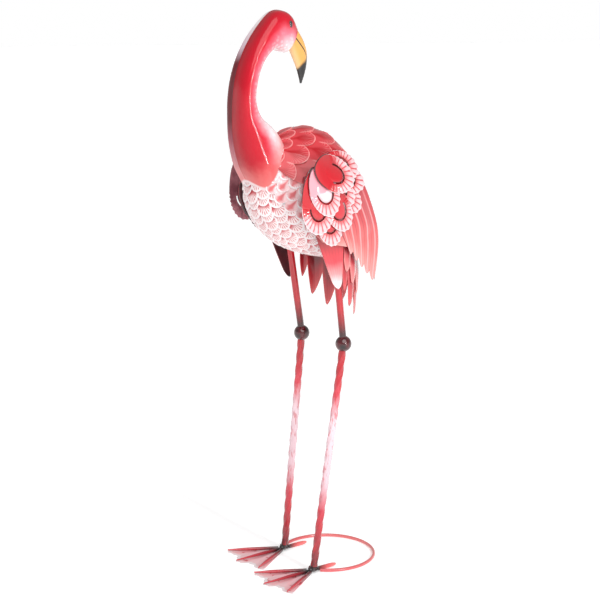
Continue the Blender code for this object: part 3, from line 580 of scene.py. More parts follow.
def rod_tree():
    """A rod or a square bar along the curve. It keeps the share of the length as the value along."""
    tree = Tree("Rod along a path", (
        ("Diameter", "NodeSocketFloat", 0.008),
        ("Square", "NodeSocketBool", False),
        ("Turns", "NodeSocketFloat", 0.0),
        ("Step", "NodeSocketFloat", 0.002),
        ("Material", "NodeSocketMaterial", None),
    ))
    path = tree.add("GeometryNodeResampleCurve", (
        (0, tree.inputs["Geometry"]), ("Length", tree.inputs["Step"])), mode="LENGTH")
    share = tree.add("GeometryNodeSplineParameter")
    kept = tree.add("GeometryNodeStoreNamedAttribute", (
        (0, path.outputs[0]), ("Name", "along"), ("Value", share.outputs["Factor"])),
        data_type="FLOAT", domain="POINT")
    tilt = tree.times(tree.times(share.outputs["Factor"], tree.inputs["Turns"]), 2.0 * math.pi)
    tilted = tree.add("GeometryNodeSetCurveTilt", ((0, kept.outputs[0]), ("Tilt", tilt)))
    half = tree.times(tree.inputs["Diameter"], 0.5)
    round_profile = tree.add("GeometryNodeCurvePrimitiveCircle", (
        ("Resolution", ROD_SIDES), ("Radius", half)))
    square = tree.add("GeometryNodeCurvePrimitiveQuadrilateral", (
        ("Width", tree.inputs["Diameter"]), ("Height", tree.inputs["Diameter"])))
    corner = tree.times(tree.inputs["Diameter"], BAR_CORNER)
    eased = tree.add("GeometryNodeFilletCurve", (
        (0, square.outputs[0]), ("Count", 3), ("Radius", corner)), mode="POLY")
    profile = tree.add("GeometryNodeSwitch", (
        ("Switch", tree.inputs["Square"]), ("False", round_profile.outputs[0]), ("True", eased.outputs[0])),
        input_type="GEOMETRY")
    radius = tree.add("GeometryNodeInputRadius")
    bar = tree.add("GeometryNodeCurveToMesh", (
        ("Curve", tilted.outputs[0]), ("Profile Curve", profile.outputs[0]),
        ("Scale", radius.outputs[0]), ("Fill Caps", True)))
    tree.end(bar.outputs[0])
    return tree


def path_object(points, radii=None):
    curve = bpy.data.curves.new("path", "CURVE")
    curve.dimensions = "3D"
    spline = curve.splines.new("POLY")
    spline.points.add(len(points) - 1)
    for i, point in enumerate(points):
        spline.points[i].co = (*(point + FRAME_SHIFT), 1.0)
        spline.points[i].radius = radii[i] if radii else 1.0
    return in_scene("path", curve)


# Finishes

class Enamel:
    """One painted finish, built up from plain steps."""

    def __init__(self, name, roughness=0.17, coat=0.8):
        self.material = bpy.data.materials.new(name)
        self.material.use_nodes = True
        self.tree = self.material.node_tree
        self.shader = self.tree.nodes["Principled BSDF"]
        self.shader.inputs["Roughness"].default_value = roughness
        self.shader.inputs["Coat Weight"].default_value = coat
        self.shader.inputs["Coat Roughness"].default_value = 0.05
        coordinates = self.add("ShaderNodeTexCoord")
        self.place = coordinates.outputs["Object"]
        parts = self.add("ShaderNodeSeparateXYZ")
        self.join(coordinates.outputs["UV"], parts.inputs[0])
        self.u, self.v = parts.outputs[0], parts.outputs[1]
        self.body = None

    def add(self, kind, **settings):
        node = self.tree.nodes.new(kind)
        for key, value in settings.items():
            setattr(node, key, value)
        return node

    def join(self, source, socket):
        if isinstance(source, bpy.types.NodeSocket):
            self.tree.links.new(source, socket)
        elif isinstance(source, float):
            socket.default_value = source
        else:
            socket.default_value = (*source, 1.0)

    def value(self, name):
        node = self.add("ShaderNodeAttribute", attribute_name=name)
        return node.outputs["Fac"]

    def math(self, operation, first, second=0.0, third=0.0):
        node = self.add("ShaderNodeMath", operation=operation)
        for socket, source in zip(node.inputs, (first, second, third)):
            self.join(source, socket)
        return node.outputs[0]

    def noise(self, scale, detail=2.0):
        node = self.add("ShaderNodeTexNoise")
        self.join(self.place, node.inputs["Vector"])
        node.inputs["Scale"].default_value = scale
        node.inputs["Detail"].default_value = detail
        return node.outputs[0]

    def sway(self, value, scale, amount):
        """The value, moved up and down by a soft noise."""
        drift = self.math("MULTIPLY_ADD", self.noise(scale), amount, -0.5 * amount)
        return self.math("ADD", value, drift)

    def mask(self, value, low, high):
        node = self.add("ShaderNodeMapRange", interpolation_type="SMOOTHSTEP")
        self.join(value, node.inputs["Value"])
        node.inputs["From Min"].default_value = low
        node.inputs["From Max"].default_value = high
        return node.outputs["Result"]

    def both(self, first, second):
        return self.math("MULTIPLY", first, second)

    def apart(self, first, second):
        return self.math("ABSOLUTE", self.math("SUBTRACT", first, second))

    def ramp(self, factor, stops):
        node = self.add("ShaderNodeValToRGB")
        self.join(factor, node.inputs[0])
        elements = node.color_ramp.elements
        elements[0].position, elements[1].position = stops[0][0], stops[-1][0]
        elements[0].color, elements[1].color = (*stops[0][1], 1.0), (*stops[-1][1], 1.0)
        for position, colour in stops[1:-1]:
            elements.new(position).color = (*colour, 1.0)
        return node.outputs[0]

    def mix(self, factor, first, second):
        node = self.add("ShaderNodeMix", data_type="RGBA")
        for index, source in ((0, factor), (6, first), (7, second)):
            self.join(source, node.inputs[index])
        return node.outputs[2]

    def spray(self, where, shade):
        """Lays another shade over what is there, where the mask lets it."""
        self.body = self.mix(where, self.body, shade)

    def finish(self, ripple=0.12, ripple_scale=55.0, relief=None):
        """Sets the colour, with the soft unevenness of brushed and sprayed enamel."""
        height = self.noise(ripple_scale, 3.0)
        if relief:
            height = self.math("ADD", height, relief)
        self.join(self.body, self.shader.inputs["Base Color"])
        bump = self.add("ShaderNodeBump")
        bump.inputs["Strength"].default_value = ripple
        bump.inputs["Distance"].default_value = 0.002
        self.join(height, bump.inputs["Height"])
        self.join(bump.outputs[0], self.shader.inputs["Normal"])
        self.join(bump.outputs[0], self.shader.inputs["Coat Normal"])
        return self.material


def neck_enamel(name, far_side):
    c = colours()
    paint = Enamel(name, roughness=0.16, coat=0.15 if far_side else 0.55)
    paint.shader.inputs["Specular IOR Level"].default_value = 0.15
    round_it = paint.sway(paint.u, 45.0, 0.14)
    # The red darkens towards the outer seam (u = 0): painted shade on the forward-facing side of both halves.
    paint.body = paint.ramp(round_it, (
        (0.00, tint(160, 8, 28)), (0.12, tint(182, 12, 34)), (0.32, tint(192, 16, 38)),
        (0.44, tint(204, 30, 48)), (0.54, tint(226, 84, 102)), (0.66, tint(242, 164, 176)), (0.82, c.white),
    ))
    if far_side:
        # Far half by the seam, by height: mauve-pink low down, dark maroon in the middle, white on the head.
        # The maroon is partly airbrushed paint and partly painted shade; the mauve and the white are painted
        # reflection of the white studio at a grazing angle.
        strip = paint.ramp(paint.sway(paint.v, 40.0, 0.04), (
            (0.06, tint(216, 150, 156)), (0.20, tint(168, 78, 94)), (0.30, tint(106, 8, 22)),
            (0.53, tint(110, 10, 26)), (0.60, tint(224, 196, 208)), (0.70, c.white)))
        seam = paint.mask(paint.sway(paint.u, 90.0, 0.04), 0.30, 0.22)
        paint.spray(seam, strip)
        paint.join(paint.math("MULTIPLY_ADD", seam, 0.40, 0.16), paint.shader.inputs["Roughness"])
    crown = paint.mask(paint.sway(paint.v, 60.0, 0.06), 0.68, 0.82)
    cheek = paint.both(crown, paint.mask(round_it, 0.34, 0.62))
    paint.spray(paint.both(cheek, 0.85), tint(236, 136, 156))
    paint.spray(paint.both(crown, paint.mask(round_it, 0.50, 0.74)), c.white)
    scales = paint.add("ShaderNodeTexVoronoi")
    paint.join(paint.place, scales.inputs["Vector"])
    scales.inputs["Scale"].default_value = 150.0
    throat = paint.mask(round_it, 0.40, 0.60)
    flecks = paint.both(paint.mask(scales.outputs["Distance"], 0.30, 0.52), throat)
    flecks = paint.both(flecks, paint.math("MULTIPLY_ADD", crown, -0.26, 0.48))
    paint.spray(flecks, tint(216, 64, 86))
    # Painted light: white sprayed over the lower throat for a soft glow.
    glow = paint.both(paint.mask(round_it, 0.46, 0.70), paint.mask(paint.v, 0.36, 0.20))
    paint.spray(paint.both(glow, 0.80), c.white)
    bib = paint.mask(paint.sway(paint.value("foot"), 90.0, 0.006), 0.022, 0.004)
    paint.spray(paint.both(bib, 0.72), tint(238, 128, 124))
    rim = paint.mask(paint.value("foot"), 0.0052, 0.0036)
    paint.spray(paint.both(rim, 0.8), c.white)
    dimples = paint.both(paint.math("SUBTRACT", 1.0, scales.outputs["Distance"]), throat)
    dimples = paint.both(dimples, paint.math("MULTIPLY_ADD", crown, -0.7, 1.0))
    paint.finish(ripple=0.24, ripple_scale=60.0, relief=dimples)


def beak_enamel():
    c = colours()
    paint = Enamel("beak_enamel", roughness=0.22, coat=0.6)
    side = paint.apart(paint.u, 0.5)
    paint.body = paint.mix(paint.mask(side, 0.22, 0.02), c.ochre, tint(246, 206, 150))
    line = paint.apart(side, paint.math("MULTIPLY_ADD", paint.v, 0.26, 0.25))
    line = paint.both(paint.mask(line, 0.014, 0.006), paint.mask(paint.v, 0.66, 0.60))
    paint.spray(line, c.black)
    tip = paint.mask(paint.sway(paint.v, 90.0, 0.06), 0.44, 0.56)
    paint.spray(tip, c.black)
    paint.finish()


def plain_enamel(name, dark, light, scale=30.0, roughness=0.18):
    """A finish that drifts softly between two shades."""
    paint = Enamel(name, roughness=roughness)
    paint.body = paint.mix(paint.mask(paint.noise(scale, 3.0), 0.35, 0.65), dark, light)
    paint.finish()


def belly_enamel():
    c = colours()
    paint = Enamel("belly_feather_enamel", roughness=0.26, coat=0.5)
    aside = paint.math("SUBTRACT", paint.u, 0.5)
    angle = paint.math("ARCTAN2", aside, paint.math("SUBTRACT", paint.v, 0.2))
    strokes = paint.math("SINE", paint.both(paint.sway(angle, 420.0, 0.16), 24.0))
    strokes = paint.both(paint.mask(strokes, 0.0, 0.9), paint.mask(paint.value("rim"), 0.86, 0.66))
    tipward = paint.mask(paint.sway(paint.v, 60.0, 0.3), 0.32, 0.62)
    fill = paint.mix(tipward, tint(208, 84, 90), tint(250, 232, 232))
    paint.body = paint.mix(paint.both(strokes, 0.85), fill, tint(202, 74, 86))
    paint.spray(paint.mask(paint.value("rim"), 0.78, 0.88), c.white)
    # Darker salmon blotches at random inside each feather, away from the rims.
    blotches = paint.both(paint.mask(paint.noise(16.0), 0.48, 0.68), paint.mask(paint.value("rim"), 1.0, 0.5))
    paint.spray(paint.both(blotches, 0.34), tint(202, 84, 92))
    paint.finish(ripple=0.2, ripple_scale=140.0)


def row_feather_enamel(name, centre, body_shade, rim_shade, rim_start, strokes, stroke_shade):
    """Feathers pressed in rows: u counts feathers, v counts rows. Darker centres and a thin pale outline."""
    paint = Enamel(name, roughness=0.2, coat=0.35)
    paint.shader.inputs["Specular IOR Level"].default_value = 0.3
    aside = paint.apart(paint.math("FRACT", paint.u), 0.5)
    down = paint.math("FRACT", paint.v)
    middle = paint.math("ADD", paint.both(aside, 1.9), paint.apart(down, 0.55))
    paint.body = paint.mix(paint.mask(paint.sway(middle, 70.0, 0.35), 0.20, 0.75), centre, body_shade)
    angle = paint.math("ARCTAN2", aside, down)
    wave = paint.math("SINE", paint.both(paint.sway(angle, 160.0, 0.1), 60.0))
    wave = paint.both(paint.mask(wave, 0.0, 0.9), paint.mask(down, 0.35, 0.75))
    paint.spray(paint.both(wave, strokes), stroke_shade)
    rim = paint.mask(paint.sway(down, 160.0, 0.04), rim_start, rim_start + 0.05)
    sides = paint.both(paint.mask(aside, 0.455, 0.49), paint.mask(down, 0.25, 0.55))
    paint.spray(paint.math("MAXIMUM", rim, paint.both(sides, 0.7)), rim_shade)
    paint.finish(ripple=0.14, ripple_scale=60.0)


def petal_enamel(name, tongue, fan, stroke, root_shade):
    """Tongue, slot edge and fan of a petal. Its UV is flat, 0.1 m to the unit, centred on the petal."""
    c = colours()
    paint = Enamel(name, roughness=0.16)
    reach = paint.value("reach")
    aside = paint.math("SUBTRACT", paint.u, 0.5)
    forward = paint.math("SUBTRACT", paint.v, 0.5)
    angle = paint.math("ARCTAN2", aside, forward)
    wave = paint.math("COSINE", paint.both(angle, float(sizes().ribs)))
    wide = paint.math("ABSOLUTE", angle)
    shaded = paint.both(paint.mask(paint.sway(reach, 50.0, 0.2), 0.30, 0.46), paint.mask(wide, 2.0, 1.2))
    red = paint.mix(paint.both(shaded, 0.5), tongue, c.deep)
    red = paint.mix(paint.mask(paint.sway(wide, 60.0, 1.0), 1.6, 2.3), red, root_shade)
    lines = paint.mask(paint.sway(wave, 200.0, 0.7), -0.15, -0.9)
    lines = paint.both(lines, paint.mask(paint.sway(reach, 120.0, 0.08), 1.0, 0.88))
    pale = paint.mix(paint.mask(paint.sway(reach, 60.0, 0.2), 0.50, 0.78), fan, tint(243, 194, 198))
    pale = paint.mix(paint.both(lines, 0.90), pale, stroke)
    root = paint.mask(paint.sway(wide, 60.0, 0.5), 0.95, 1.55)
    pale = paint.mix(root, pale, root_shade)
    paint.body = paint.mix(paint.mask(reach, 0.445, 0.475), red, pale)
    # Painted shade: a black rim round the slot stands for the shadow in its gap.
    slot = paint.mask(paint.apart(reach, 0.455), 0.042, 0.022)
    slot = paint.both(slot, paint.mask(wide, 1.85, 1.70))
    paint.spray(slot, c.black)
    trim = paint.both(paint.mask(reach, 0.965, 0.985), paint.mask(wide, 2.3, 1.5))
    paint.spray(trim, c.white)
    shadow = paint.both(paint.mask(reach, 0.93, 0.985), paint.mask(wide, 1.7, 2.2))
    paint.spray(shadow, tint(58, 10, 16))
    paint.finish(ripple=0.08)


def flight_enamel():
    c = colours()
    paint = Enamel("flight_enamel", roughness=0.2)
    paint.body = paint.ramp(paint.sway(paint.v, 26.0, 0.14), (
        (0.0, tint(120, 18, 34)), (0.35, tint(184, 42, 54)), (0.62, tint(204, 64, 70)),
        (0.84, tint(228, 106, 104)), (1.0, tint(244, 160, 154)),
    ))
    quill = paint.apart(paint.math("FRACT", paint.u), 0.5)
    lines = paint.both(paint.mask(paint.sway(quill, 60.0, 0.04), 0.15, 0.03), paint.mask(paint.v, 0.2, 0.6))
    paint.spray(paint.both(lines, 0.5), c.pink)
    barbs = paint.math("SINE", paint.both(paint.math("ADD", paint.v, quill), 160.0))
    paint.spray(paint.both(paint.mask(barbs, 0.2, 1.0), 0.14), c.deep)
    gap = paint.both(paint.mask(quill, 0.46, 0.49), paint.mask(paint.v, 0.35, 0.6))
    paint.spray(paint.both(gap, 0.8), tint(150, 30, 44))
    paint.finish()


def hanging_enamel(name, stops):
    """A blade or lobe that changes shade from its root down to its tip, with fine strokes along it."""
    c = colours()
    paint = Enamel(name, roughness=0.2)
    paint.body = paint.ramp(paint.sway(paint.v, 40.0, 0.12), stops)
    strokes = paint.math("SINE", paint.both(paint.sway(paint.u, 60.0, 0.05), 44.0))
    paint.spray(paint.both(paint.mask(strokes, 0.2, 1.0), 0.16), c.deep)
    paint.finish()


def along_enamel(name, stops, fleck=0.0, roughness=0.2):
    """A rod or bar painted by the share of its length."""
    c = colours()
    paint = Enamel(name, roughness=roughness)
    paint.body = paint.ramp(paint.sway(paint.value("along"), 60.0, 0.05), stops)
    if fleck:
        stretch = paint.add("ShaderNodeVectorMath", operation="MULTIPLY")
        paint.join(paint.place, stretch.inputs[0])
        stretch.inputs[1].default_value = (1.0, 1.0, 0.22)
        dashes = paint.add("ShaderNodeTexNoise")
        paint.join(stretch.outputs[0], dashes.inputs["Vector"])
        dashes.inputs["Scale"].default_value = 230.0
        marks = paint.mask(dashes.outputs[0], 0.54, 0.64)
        paint.spray(paint.both(marks, fleck), c.red)
    paint.finish()


def web_enamel():
    c = colours()
    paint = Enamel("web_enamel", roughness=0.24)
    paint.body = paint.ramp(paint.sway(paint.v, 50.0, 0.25), (
        (0.06, tint(70, 58, 62)), (0.24, tint(222, 176, 182)), (0.60, tint(242, 184, 190)),
        (1.0, tint(248, 206, 208))))
    spots = paint.mask(paint.noise(60.0, 3.0), 0.60, 0.66)
    paint.spray(paint.both(spots, 0.7), tint(204, 40, 60))
    paint.spray(paint.mask(paint.sway(paint.v, 90.0, 0.04), 0.90, 0.95), c.white)
    paint.finish()


def make_finishes():
    c = colours()
    neck_enamel("neck_left_enamel", False)
    neck_enamel("neck_right_enamel", True)
    beak_enamel()
    belly_enamel()
    plain_enamel("eye_enamel", c.black, tint(60, 56, 60), 500.0, 0.08)
    plain_enamel("belly_skin_enamel", tint(196, 62, 72), tint(226, 110, 112), 60.0)
    plain_enamel("knee_enamel", tint(18, 4, 8), tint(84, 8, 20), 60.0, 0.06)
    plain_enamel("weld_enamel", c.black, tint(52, 22, 28), 300.0, 0.12)
    row_feather_enamel("back_enamel", tint(178, 16, 30), tint(204, 60, 68), tint(238, 150, 150), 0.935, 0.22,
                       tint(240, 170, 170))
    row_feather_enamel("flank_enamel", tint(222, 116, 120), tint(246, 208, 210), c.white, 0.86, 0.6,
                       tint(212, 92, 100))
    petal_enamel("petal_front_enamel", c.red, tint(232, 104, 108), tint(214, 60, 70), c.red)
    # front_2's pale tongue and root: partly white overspray, partly a painted reflection of the studio light.
    petal_enamel("petal_second_enamel", tint(250, 214, 220), tint(240, 130, 134), tint(216, 62, 72),
                 tint(240, 160, 172))
    petal_enamel("petal_middle_enamel", tint(206, 30, 46), tint(228, 98, 102), tint(204, 50, 60), c.red)
    petal_enamel("petal_rear_enamel", tint(190, 26, 42), tint(220, 88, 92), tint(190, 40, 52), c.deep)
    plain_enamel("petal_back_enamel", tint(134, 84, 94), tint(186, 128, 138), 45.0, 0.3)
    plain_enamel("sheet_back_enamel", tint(48, 30, 32), tint(92, 40, 46), 35.0, 0.3)
    flight_enamel()
    # The thigh blade's dark root is painted shadow under the wing; below it, red paint fades to white.
    hanging_enamel("thigh_enamel", (
        (0.0, tint(110, 14, 28)), (0.22, tint(196, 26, 40)), (0.55, tint(228, 62, 74)),
        (0.76, tint(244, 150, 152)), (0.90, tint(252, 232, 232)), (1.0, c.white)))
    # Dark maroon of the inner fan and of both fans' hidden faces: red paint darkened as painted shade behind
    # the outer fan and under the body.
    hanging_enamel("tail_inner_enamel", (
        (0.0, tint(66, 12, 20)), (0.40, tint(112, 22, 32)), (0.70, tint(188, 36, 48)),
        (1.0, tint(222, 82, 84))))
    hanging_enamel("tail_outer_enamel", (
        (0.0, tint(140, 26, 40)), (0.5, tint(206, 62, 72)), (1.0, tint(240, 140, 138))))
    along_enamel("upper_leg_enamel", (
        (0.0, c.black), (0.10, tint(60, 8, 14)), (0.34, tint(186, 24, 38)), (1.0, tint(206, 30, 44))))
    along_enamel("shank_enamel", (
        (0.0, tint(36, 14, 18)), (0.05, tint(126, 16, 30)), (0.20, tint(186, 28, 46)),
        (0.27, tint(196, 44, 66)), (0.40, tint(230, 192, 201)), (0.66, tint(236, 206, 214)),
        (0.78, tint(212, 60, 78)), (0.86, tint(186, 20, 38)), (1.0, tint(168, 14, 30)),
    ), fleck=0.55)
    along_enamel("toe_enamel", (
        (0.0, c.black), (0.20, tint(110, 16, 28)), (0.5, tint(176, 26, 44)), (1.0, tint(206, 70, 80))))
    along_enamel("heel_toe_enamel", (
        (0.0, tint(240, 128, 124)), (0.14, tint(226, 96, 98)), (0.26, c.black), (0.42, c.black),
        (0.56, tint(150, 22, 38)), (1.0, tint(206, 70, 80))))
    along_enamel("ring_enamel", (
        (0.0, tint(206, 84, 90)), (0.5, tint(224, 118, 116)), (1.0, tint(206, 84, 90))))
    web_enamel()


# Pieces

def section_ring(outer, inner, half_width, points, power, side=0.0):
    """Points round a rounded section, or round one half of it where a side is given."""
    start, end = Vector((0.0, *outer)) * MM, Vector((0.0, *inner)) * MM
    centre, depth = (start + end) / 2.0, (start - end) / 2.0
    ring = []
    for i in range(points):
        angle = math.pi * i / (points - 1) if side else 2.0 * math.pi * i / points
        c, s = math.cos(angle), math.sin(angle)
        swell = (abs(c) ** power + abs(s) ** power) ** (-1.0 / power)
        across = half_width * MM * swell * s * (side or 1.0)
        ring.append(centre + depth * (swell * c) + SIDEWAYS * across)
    return ring


def neck_rings(side):
    path = smooth_path([(*outer, *inner, width) for outer, inner, width in NECK], 8)
    return [section_ring(p[0:2], p[2:4], p[4], 40, NECK_SQUARENESS, side) for p in path]


def make_neck_half(side_name, side):
    rings = neck_rings(side)
    low = rings[0]
    lower = [[p - (rings[2][i] - low[i]) * k for i, p in enumerate(low)] for k in (3.0, 2.0, 1.0)]
    rings = lower + rings
    uv, foot = [], []
    for r, ring in enumerate(rings):
        for i, point in enumerate(ring):
            lip = 0.0007 * math.exp(-(i / 1.2) ** 2) + 0.0004 * math.exp(-((len(ring) - 1 - i) / 1.2) ** 2)
            point.x += side * FIT / 2.0
            ring[i] = point + (point - (ring[0] + ring[-1]) / 2.0).normalized() * lip
            uv.append((i / (len(ring) - 1), max(0.0, (r - 3) / (len(rings) - 4))))
            foot.append(body_excess(point))
    obj = loft(f"neck_{side_name}_shell", rings, uv, {"foot": foot})
    finish_piece(obj, f"neck_{side_name}_enamel", (f"neck_{side_name}_half",))


def make_beak():
    path = smooth_path([(*outer, *inner, width) for outer, inner, width in BEAK], 9)
    rings, uv = [], []
    for r, p in enumerate(path):
        ring = section_ring(p[0:2], p[2:4], p[4], 48, BEAK_SQUARENESS)
        centre = sum(ring, Vector()) / len(ring)
        for i, point in enumerate(ring):
            u = i / len(ring)
            line = abs(abs(u - 0.5) - 0.25 - 0.26 * r / len(path))
            press = 0.0006 * math.exp(-(line / 0.018) ** 2) * (1.0 - smoothstep(0.5, 0.66, r / len(path)))
            ring[i] = point + (centre - point).normalized() * press
            uv.append((u, r / (len(path) - 1)))
        rings.append(ring)
    finish_piece(loft("hooked_beak", rings, uv), "beak_enamel", ("beak",))


def make_eye(side_name, side):
    """An upright oval bead on the side of the head."""
    rings = neck_rings(side)
    target = Vector((0.0, *EYE)) * MM
    spot = min((p for ring in rings for p in ring if p.x * side > 0.012),
               key=lambda p: (Vector((0.0, p.y, p.z)) - target).length)
    work = bmesh.new()
    bmesh.ops.create_uvsphere(work, u_segments=24, v_segments=16, radius=1.0)
    for vertex in work.verts:
        vertex.co = vertex.co * EYE_SIZE + spot + FRAME_SHIFT
    finish_piece(kept_mesh(f"eye_{side_name}", work), "eye_enamel", ())


def feather_blank():
    """One closed pressed feather of unit width and length, its root at the origin and its tip along +Y."""
    steps, wall, step = 10, Vector((0.0, 0.0, sizes().wall * 0.8)), sizes().row_step
    outer, inner, uv, rim = [], [], [], []
    for r in range(steps + 1):
        row = []
        down = 1.0 - (1.0 - r / steps) ** 1.5
        tip = max(0.0, down - 0.5) / 0.5
        half = 0.5 * math.sqrt(max(0.012, 1.0 - tip * tip)) * (0.7 + 0.3 * smoothstep(0.0, 0.4, down))
        for c in range(steps + 1):
            aside = math.sin(0.5 * math.pi * (2.0 * c / steps - 1.0))
            reach = min(1.0, math.hypot(aside * half / 0.5, tip))
            rays = 0.0003 * math.cos(5.0 * math.pi * aside) * smoothstep(0.2, 0.5, down) * (1.0 - reach ** 4)
            dome = 0.0012 * (1.0 - reach ** 2) + step * down
            row.append(Vector((aside * half, down, dome + rays)) - FRAME_SHIFT)
            uv.append((0.5 + aside * half, down))
            rim.append(reach if tip > 0.0 else abs(aside))
        outer.append(row)
        inner.append([point - wall for point in row])
    obj = closed_plate("feather_blank", outer, inner, uv, {"rim": rim})
    obj.data.shade_smooth()
    return obj


def make_belly_skin():
    rings = []
    for k in range(1, 48):
        rings.append([body_point(place_of(180.0 * k / 48.0), 6.0 * i, -0.0004) for i in range(60)])
    finish_piece(loft("belly_skin", rings), "belly_skin_enamel", ("belly_shell",))


def make_belly_feathers():
    size = sizes()
    points, normals, tips = [], [], []
    angle, row = BELLY_START, 0
    while angle < BELLY_END:
        place = place_of(angle)
        reach = math.radians(BELLY_SPAN) * (HALF_WIDTH + body_depth(place, False)) / 2.0 * girth(place)
        count = max(2, round(reach / (size.feather_width * 0.80)))
        for i in range(count + 1):
            turn = BELLY_FROM + BELLY_SPAN * (i + 0.5 * (row % 2)) / count
            turn += 0.9 * math.sin(7.3 * i + 3.1 * row)
            if turn > BELLY_FROM + BELLY_SPAN + 1.0:
                continue
            here = body_point(place, turn, 0.0001)
            lean = 0.35 * math.sin(5.1 * i + 2.3 * row)
            tips.append(body_point(place_of(angle + 2.0), turn + lean, 0.0001) - here)
            normals.append(body_point(place, turn, 0.01) - here)
            points.append(here)
        row += 1
        angle += math.degrees(size.feather_length * 0.50 / (HALF_LENGTH * 0.93))
    cloud = new_object("belly_points", points, [])
    for key, vectors in (("normal_way", normals), ("tip_way", tips)):
        attribute = cloud.data.attributes.new(key, "FLOAT_VECTOR", "POINT")
        attribute.data.foreach_set("vector", [n for v in vectors for n in v.normalized()])
    blank = feather_blank()
    material = material_named("belly_feather_enamel")
    feathers = grow(cloud, feather_tree(), "belly_feathers", Feather=blank, Width=size.feather_width,
                    Length=size.feather_length, Material=material)
    bpy.data.objects.remove(blank, do_unlink=True)
    finish_piece(feathers, None, ())


def lobe_edge(place):
    place %= 1.0
    return 1.0 - abs(2.0 * place - 1.0) ** 2.4


ROW_STATIONS = (0.0, 0.12, 0.3, 0.5, 0.7, 0.86, 0.95, 0.995)


def make_back():
    """The red plate over the back, with rows of large rounded feathers that step down towards the tail."""
    columns = BACK_FEATHERS * 12
    width = (BACK_END - BACK_START) / BACK_ROWS
    outer, inner, uv = [], [], []
    rows = [(10.0, -1, 0.0)]
    rows += [(BACK_START + width * (row + t), row, t) for row in range(BACK_ROWS) for t in ROW_STATIONS]
    rows.append((BACK_END + 0.6, BACK_ROWS, 0.0))
    for angle, row, t in rows:
        top, under = [], []
        edge = BACK_EDGE + BACK_FRONT_DROP * (1.0 - smoothstep(BACK_TUCK, BACK_TUCK_END, angle))
        for i in range(columns + 1):
            f = i / columns
            u = f * BACK_FEATHERS + 0.5 * (row % 2)
            own = lobe_edge(u) * 0.45 * width * (row >= 0)
            above = lobe_edge(u + 0.5) * 0.45 * width * (row >= 1)
            place = place_of(min(angle + above + (own - above) * t, 174.0))
            turn = edge * (2.0 * f - 1.0)
            middle = 1.0 - abs(2.0 * (u % 1.0) - 1.0) ** 2.0
            height = 0.0036 * t ** 1.4 + 0.0007 * middle * smoothstep(0.0, 0.5, t)
            height *= smoothstep(16.0, 36.0, angle)
            under.append(body_point(place, turn, back_lift(turn)))
            top.append(body_point(place, turn, back_lift(turn) + sizes().wall + height))
            uv.append((u, row + t if row >= 0 else 0.3))
        outer.append(top)
        inner.append(under)
    finish_piece(closed_plate("back_plate", outer, inner, uv), "back_enamel", ("back_shell",))


def make_flank(side_name, side):
    columns, lobes, rows = 60, 5.0, 3
    outer, inner, uv = [], [], []
    stations = [(row, t) for row in range(rows) for t in ROW_STATIONS]
    for row, t in stations:
        top, under = [], []
        for c in range(columns + 1):
            f = c / columns
            u = f * lobes + 0.5 * ((row + 1) % 2)
            own, above = lobe_edge(u), lobe_edge(u + 0.5) * (row > 0)
            scallop = 6.5 * (above + (own - above) * t)
            turn = FLANK_TOP + (FLANK_LOW - FLANK_RISE * f - FLANK_TOP) * (row + t) / rows + scallop
            place = place_of(FLANK_START + (FLANK_END - FLANK_START) * f)
            lift = FLANK_LIFT + 0.0004 * t * row
            under.append(body_point(place, side * turn, lift))
            top.append(body_point(place, side * turn, lift + sizes().wall + sizes().row_step * t))
            uv.append((u, row + t))
        outer.append(top)
        inner.append(under)
    obj = closed_plate(f"flank_feathers_{side_name}", outer, inner, uv)
    finish_piece(obj, "flank_enamel", (f"flank_plate_{side_name}",))


def wing_rest(y, z):
    return body_side(y * MM, z * MM, WING_LIFT) + sizes().wall


def wing_surface(place, z, layer, shift):
    """Sideways place of a wing sheet at a place in the side view. Layers count inwards from the outermost."""
    y = place - shift
    bend = 0.0076 * smoothstep(-70.0, 20.0, y) if z > WING_LEVEL else 0.0004
    drop = bend * (z - WING_LEVEL) ** 2
    behind = y + 20.0
    if behind <= 0.0:
        drop += 0.001 * behind ** 2
    elif behind < 40.0:
        drop += 0.0028 * behind ** 2
    else:
        drop += 0.0028 * 40.0 * (2.0 * behind - 40.0)
    tight = 0.0009 + 4.0 * FIT
    reach = math.hypot(y - SHOULDER[0], z - SHOULDER[1])
    step = tight + (0.0027 - tight) * smoothstep(0.0, 45.0, reach)
    return max((WING_OUT - drop) * MM - step * layer, wing_rest(place, z) + tight * (BASE_LAYER - layer))


def petal_radius(angle, front, back, half_width):
    c, s = math.cos(angle), abs(math.sin(angle))
    if c >= 0.0:
        return 1.0 / math.hypot(c / front, s / half_width)
    return ((-c / back) ** 1.8 + (s / half_width) ** 1.8) ** (-1.0 / 1.8)


